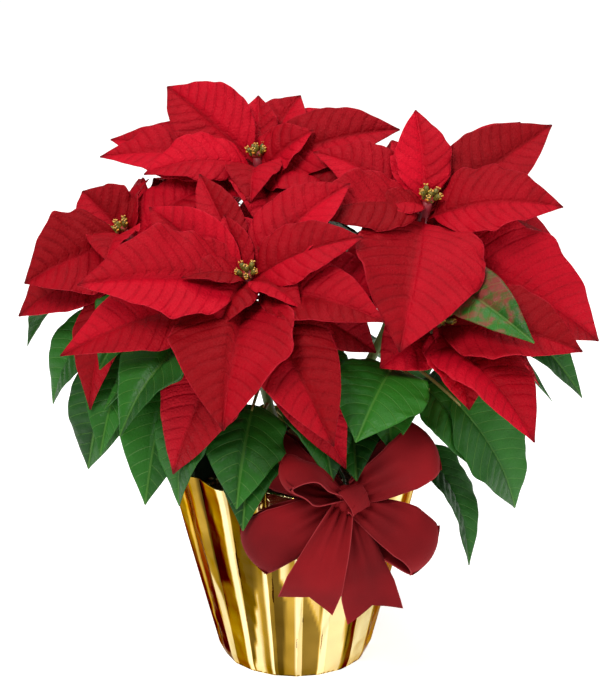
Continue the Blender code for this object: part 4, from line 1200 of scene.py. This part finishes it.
tailTable = {
    # name: control points from the knot in mm, way the width lies, cut length of ribbon in mm
    "bow_tail_left": (((0, 0, 0), (-9, -26, -18), (-20, -28, -50), (-28, -12, -76)), (0.90, -0.06, -0.42), 73),
    "bow_tail_right": (((0, 0, 0), (6, -14, -26), (15, -16, -58), (21, -6, -86)), (0.95, 0.30, 0.16), 77),
}


def velvetMaterial():
    # rayon velvet: dense short pile, matt and dark face on, bright seen edgewise, brushed in patches
    made, tree, shader, _ = newMaterial("ribbonVelvet")
    place = addNode(tree, "TexCoord").outputs["Object"]
    across = addNode(tree, "Attribute", {"attribute_name": "across"}).outputs["Fac"]
    brushed = addNode(tree, "TexNoise", {}, {
        "Vector": place, "Scale": 24.0, "Detail": 2.0, "Roughness": 0.5,
    }).outputs["Fac"]
    # real pile is 0.1 mm thick; it is drawn as 0.5 mm tufts so that it shows
    pile = addNode(tree, "TexNoise", {}, {"Vector": place, "Scale": 2200.0, "Detail": 2.0}).outputs["Fac"]
    both = addNode(tree, "Math", {"operation": "MULTIPLY_ADD"}, {0: pile, 1: 0.3, 2: brushed}).outputs[0]
    share = addNode(tree, "MapRange", {}, {"Value": both, "From Min": 0.3, "From Max": 1.05}).outputs[0]
    base = addNode(tree, "Mix", {"data_type": "RGBA"}, {
        0: share, 6: linear("#52060B"), 7: linear("#8A0E16"),
    }).outputs[2]
    rim = addNode(tree, "MapRange", {}, {
        "Value": across, "From Min": 0.965, "From Max": 0.99, "To Max": 0.6,
    }).outputs[0]
    edged = addNode(tree, "Mix", {"data_type": "RGBA"}, {0: rim, 6: base, 7: linear("#A8383C")}).outputs[2]
    bump = addNode(tree, "Bump", {}, {"Height": pile, "Strength": 0.35, "Distance": 0.2 * mm}).outputs["Normal"]
    setInputs(tree, shader, {
        "Base Color": edged,
        "Roughness": 0.85,
        "Specular IOR Level": 0.15,
        "Sheen Weight": 0.3,
        "Sheen Roughness": 0.35,
        "Sheen Tint": linear("#B8323C"),
        "Normal": bump,
    })
    return made


ribbonVelvet = velvetMaterial()


def ribbonOpened(share, fast=1.5):
    return min(1.0, share * fast) ** 0.75


def loopPoint(loop, u, v):
    way, face, length, depth, width, shift = loop
    across = way.cross(face).normalized()
    face = across.cross(way).normalized()
    share = bowSpec["knotShare"]
    out = share + (1 - share) * math.sin(math.pi * u) ** 2
    swell = math.sin(2 * math.pi * u) * math.sin(math.pi * u) / 0.77 * (1.25 if u < 0.5 else 1)
    opened = ribbonOpened(out)
    wide = bowSpec["pinchWidth"] + (width - bowSpec["pinchWidth"]) * opened
    layer = 1 if u < 0.5 else -1
    closed = 1 - opened
    rise = layer * (1.4 * mm + bowSpec["pinchRise"] * closed * (1 - abs(v)))
    pleats = bowSpec["pleat"] * closed * math.cos(3 * math.pi * v + shift) * 1.6
    sway = 2.0 * mm * math.sin(2 * math.pi * (1.5 * out + 0.3 * v) + shift) * opened * (0.3 + v * v)
    rounding = -0.10 * wide * v * v * opened * layer
    return (
        bowSpec["knot"] + way * (length * out * (1 - 0.08 * v * v * opened)) + across * (v * wide / 2)
        + face * (depth * swell + rise * (1 - out) + pleats + sway + rounding)
    )


def tailPoint(tail, u, v):
    corners, across, shift = tail
    notch = bowSpec["tailNotch"] / (corners[-1].length * 1.06) * (1 - abs(v))
    u = 0.04 + 0.96 * u * (1 - notch)
    ahead, behind = bezierPoint(corners, min(u + 0.02, 1)), bezierPoint(corners, max(u - 0.02, 0))
    heading = (ahead - behind).normalized()
    side = (across - across.project(heading)).normalized()
    opened = ribbonOpened(u, 1.35)
    wide = bowSpec["pinchWidth"] + (bowSpec["ribbonWidth"] - bowSpec["pinchWidth"]) * opened
    rise = bowSpec["pinchRise"] * (1 - opened) * (1 - abs(v))
    rise += bowSpec["pleat"] * (1 - opened) * math.cos(3 * math.pi * v + shift) * 1.5
    rise += 2.2 * mm * math.sin(2 * math.pi * (1.2 * u + 0.2 * v) + shift) * opened * (0.4 + v * v)
    return bowSpec["knot"] + bezierPoint(corners, u) + side * (v * wide / 2) + side.cross(heading) * rise


def makeRibbon(name, point, rows):
    bm = bmesh.new()
    across = bm.verts.layers.float.new("across")
    for vert in bmesh.ops.create_grid(bm, x_segments=18, y_segments=rows, size=1)["verts"]:
        u, v = (vert.co.y + 1) / 2, vert.co.x
        vert[across] = abs(v)
        vert.co = point(u, v)
    for face in bm.faces:
        face.smooth = True
    made = objectFrom(bm, name, [ribbonVelvet])
    wall = made.modifiers.new("wall", "SOLIDIFY")
    wall.thickness = bowSpec["thickness"]
    wall.offset = 0
    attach(made, "root")
    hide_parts("bow")
    return made


def makeKnot():
    # the ribbon's middle, gathered into folds under its binding
    bm = bmesh.new()
    bmesh.ops.create_uvsphere(bm, u_segments=48, v_segments=32, radius=1)
    for vert in bm.verts:
        turn = math.atan2(vert.co.y, vert.co.x)
        flat = math.sqrt(max(0, 1 - vert.co.z ** 2))
        fold = 1 + 0.05 * flat * math.cos(7 * turn) + 0.03 * flat * math.cos(13 * turn + 1)
        vert.co = bowSpec["knot"] + vert.co * (fold * 0.96 * bowSpec["knotRadius"])
    bm.verts.layers.float.new("across")  # 0 all over: the knot shows no edge of the ribbon
    paint(bm.faces, 0)
    made = objectFrom(bm, "bow_knot", [ribbonVelvet])
    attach(made, "root")
    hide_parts("bow")
    return made


bowKnot = makeKnot()
for shift, (name, (way, face, length, depth, width, cut)) in enumerate(loopTable.items()):
    ways = Vector(way).normalized(), Vector(face).normalized()
    loop = (*ways, length * mm, depth * mm, width * mm, 1.3 * shift)
    made = makeRibbon(name, lambda u, v: loopPoint(loop, u, v), 72)
for shift, (name, (corners, across, cut)) in enumerate(tailTable.items()):
    tail = ([Vector(corner) * mm for corner in corners], Vector(across), 2.1 * shift)
    made = makeRibbon(name, lambda u, v: tailPoint(tail, u, v), 60)
print("bow made")


# Floor, light and camera

def makeFloor():
    bm = bmesh.new()
    bmesh.ops.create_grid(bm, x_segments=1, y_segments=1, size=studioSpec["floorReach"])
    made, tree, shader, _ = newMaterial("floorPaperMatt")
    # the floor gives off some light of its own so that it stays white up to the back
    setInputs(tree, shader, {"Base Color": linear("#F4F4F3"), "Roughness": 0.9, "Specular IOR Level": 0.0,
                             "Emission Color": linear("#FFFFFF"), "Emission Strength": studioSpec["floorGlow"]})
    floor = objectFrom(bm, "floor", [made])


def lightWorld():
    world = bpy.data.worlds.new("studio")
    world.use_nodes = True
    tree = world.node_tree
    backdrop = tree.nodes["Background"]
    backdrop.inputs["Color"].default_value = linear("#F4F3F1")
    backdrop.inputs["Strength"].default_value = studioSpec["worldStrength"]
    bpy.context.scene.world = world
    bpy.context.scene.view_settings.view_transform = "Standard"


makeFloor()
lightWorld()
placeLights()
placeCamera()

print("done")
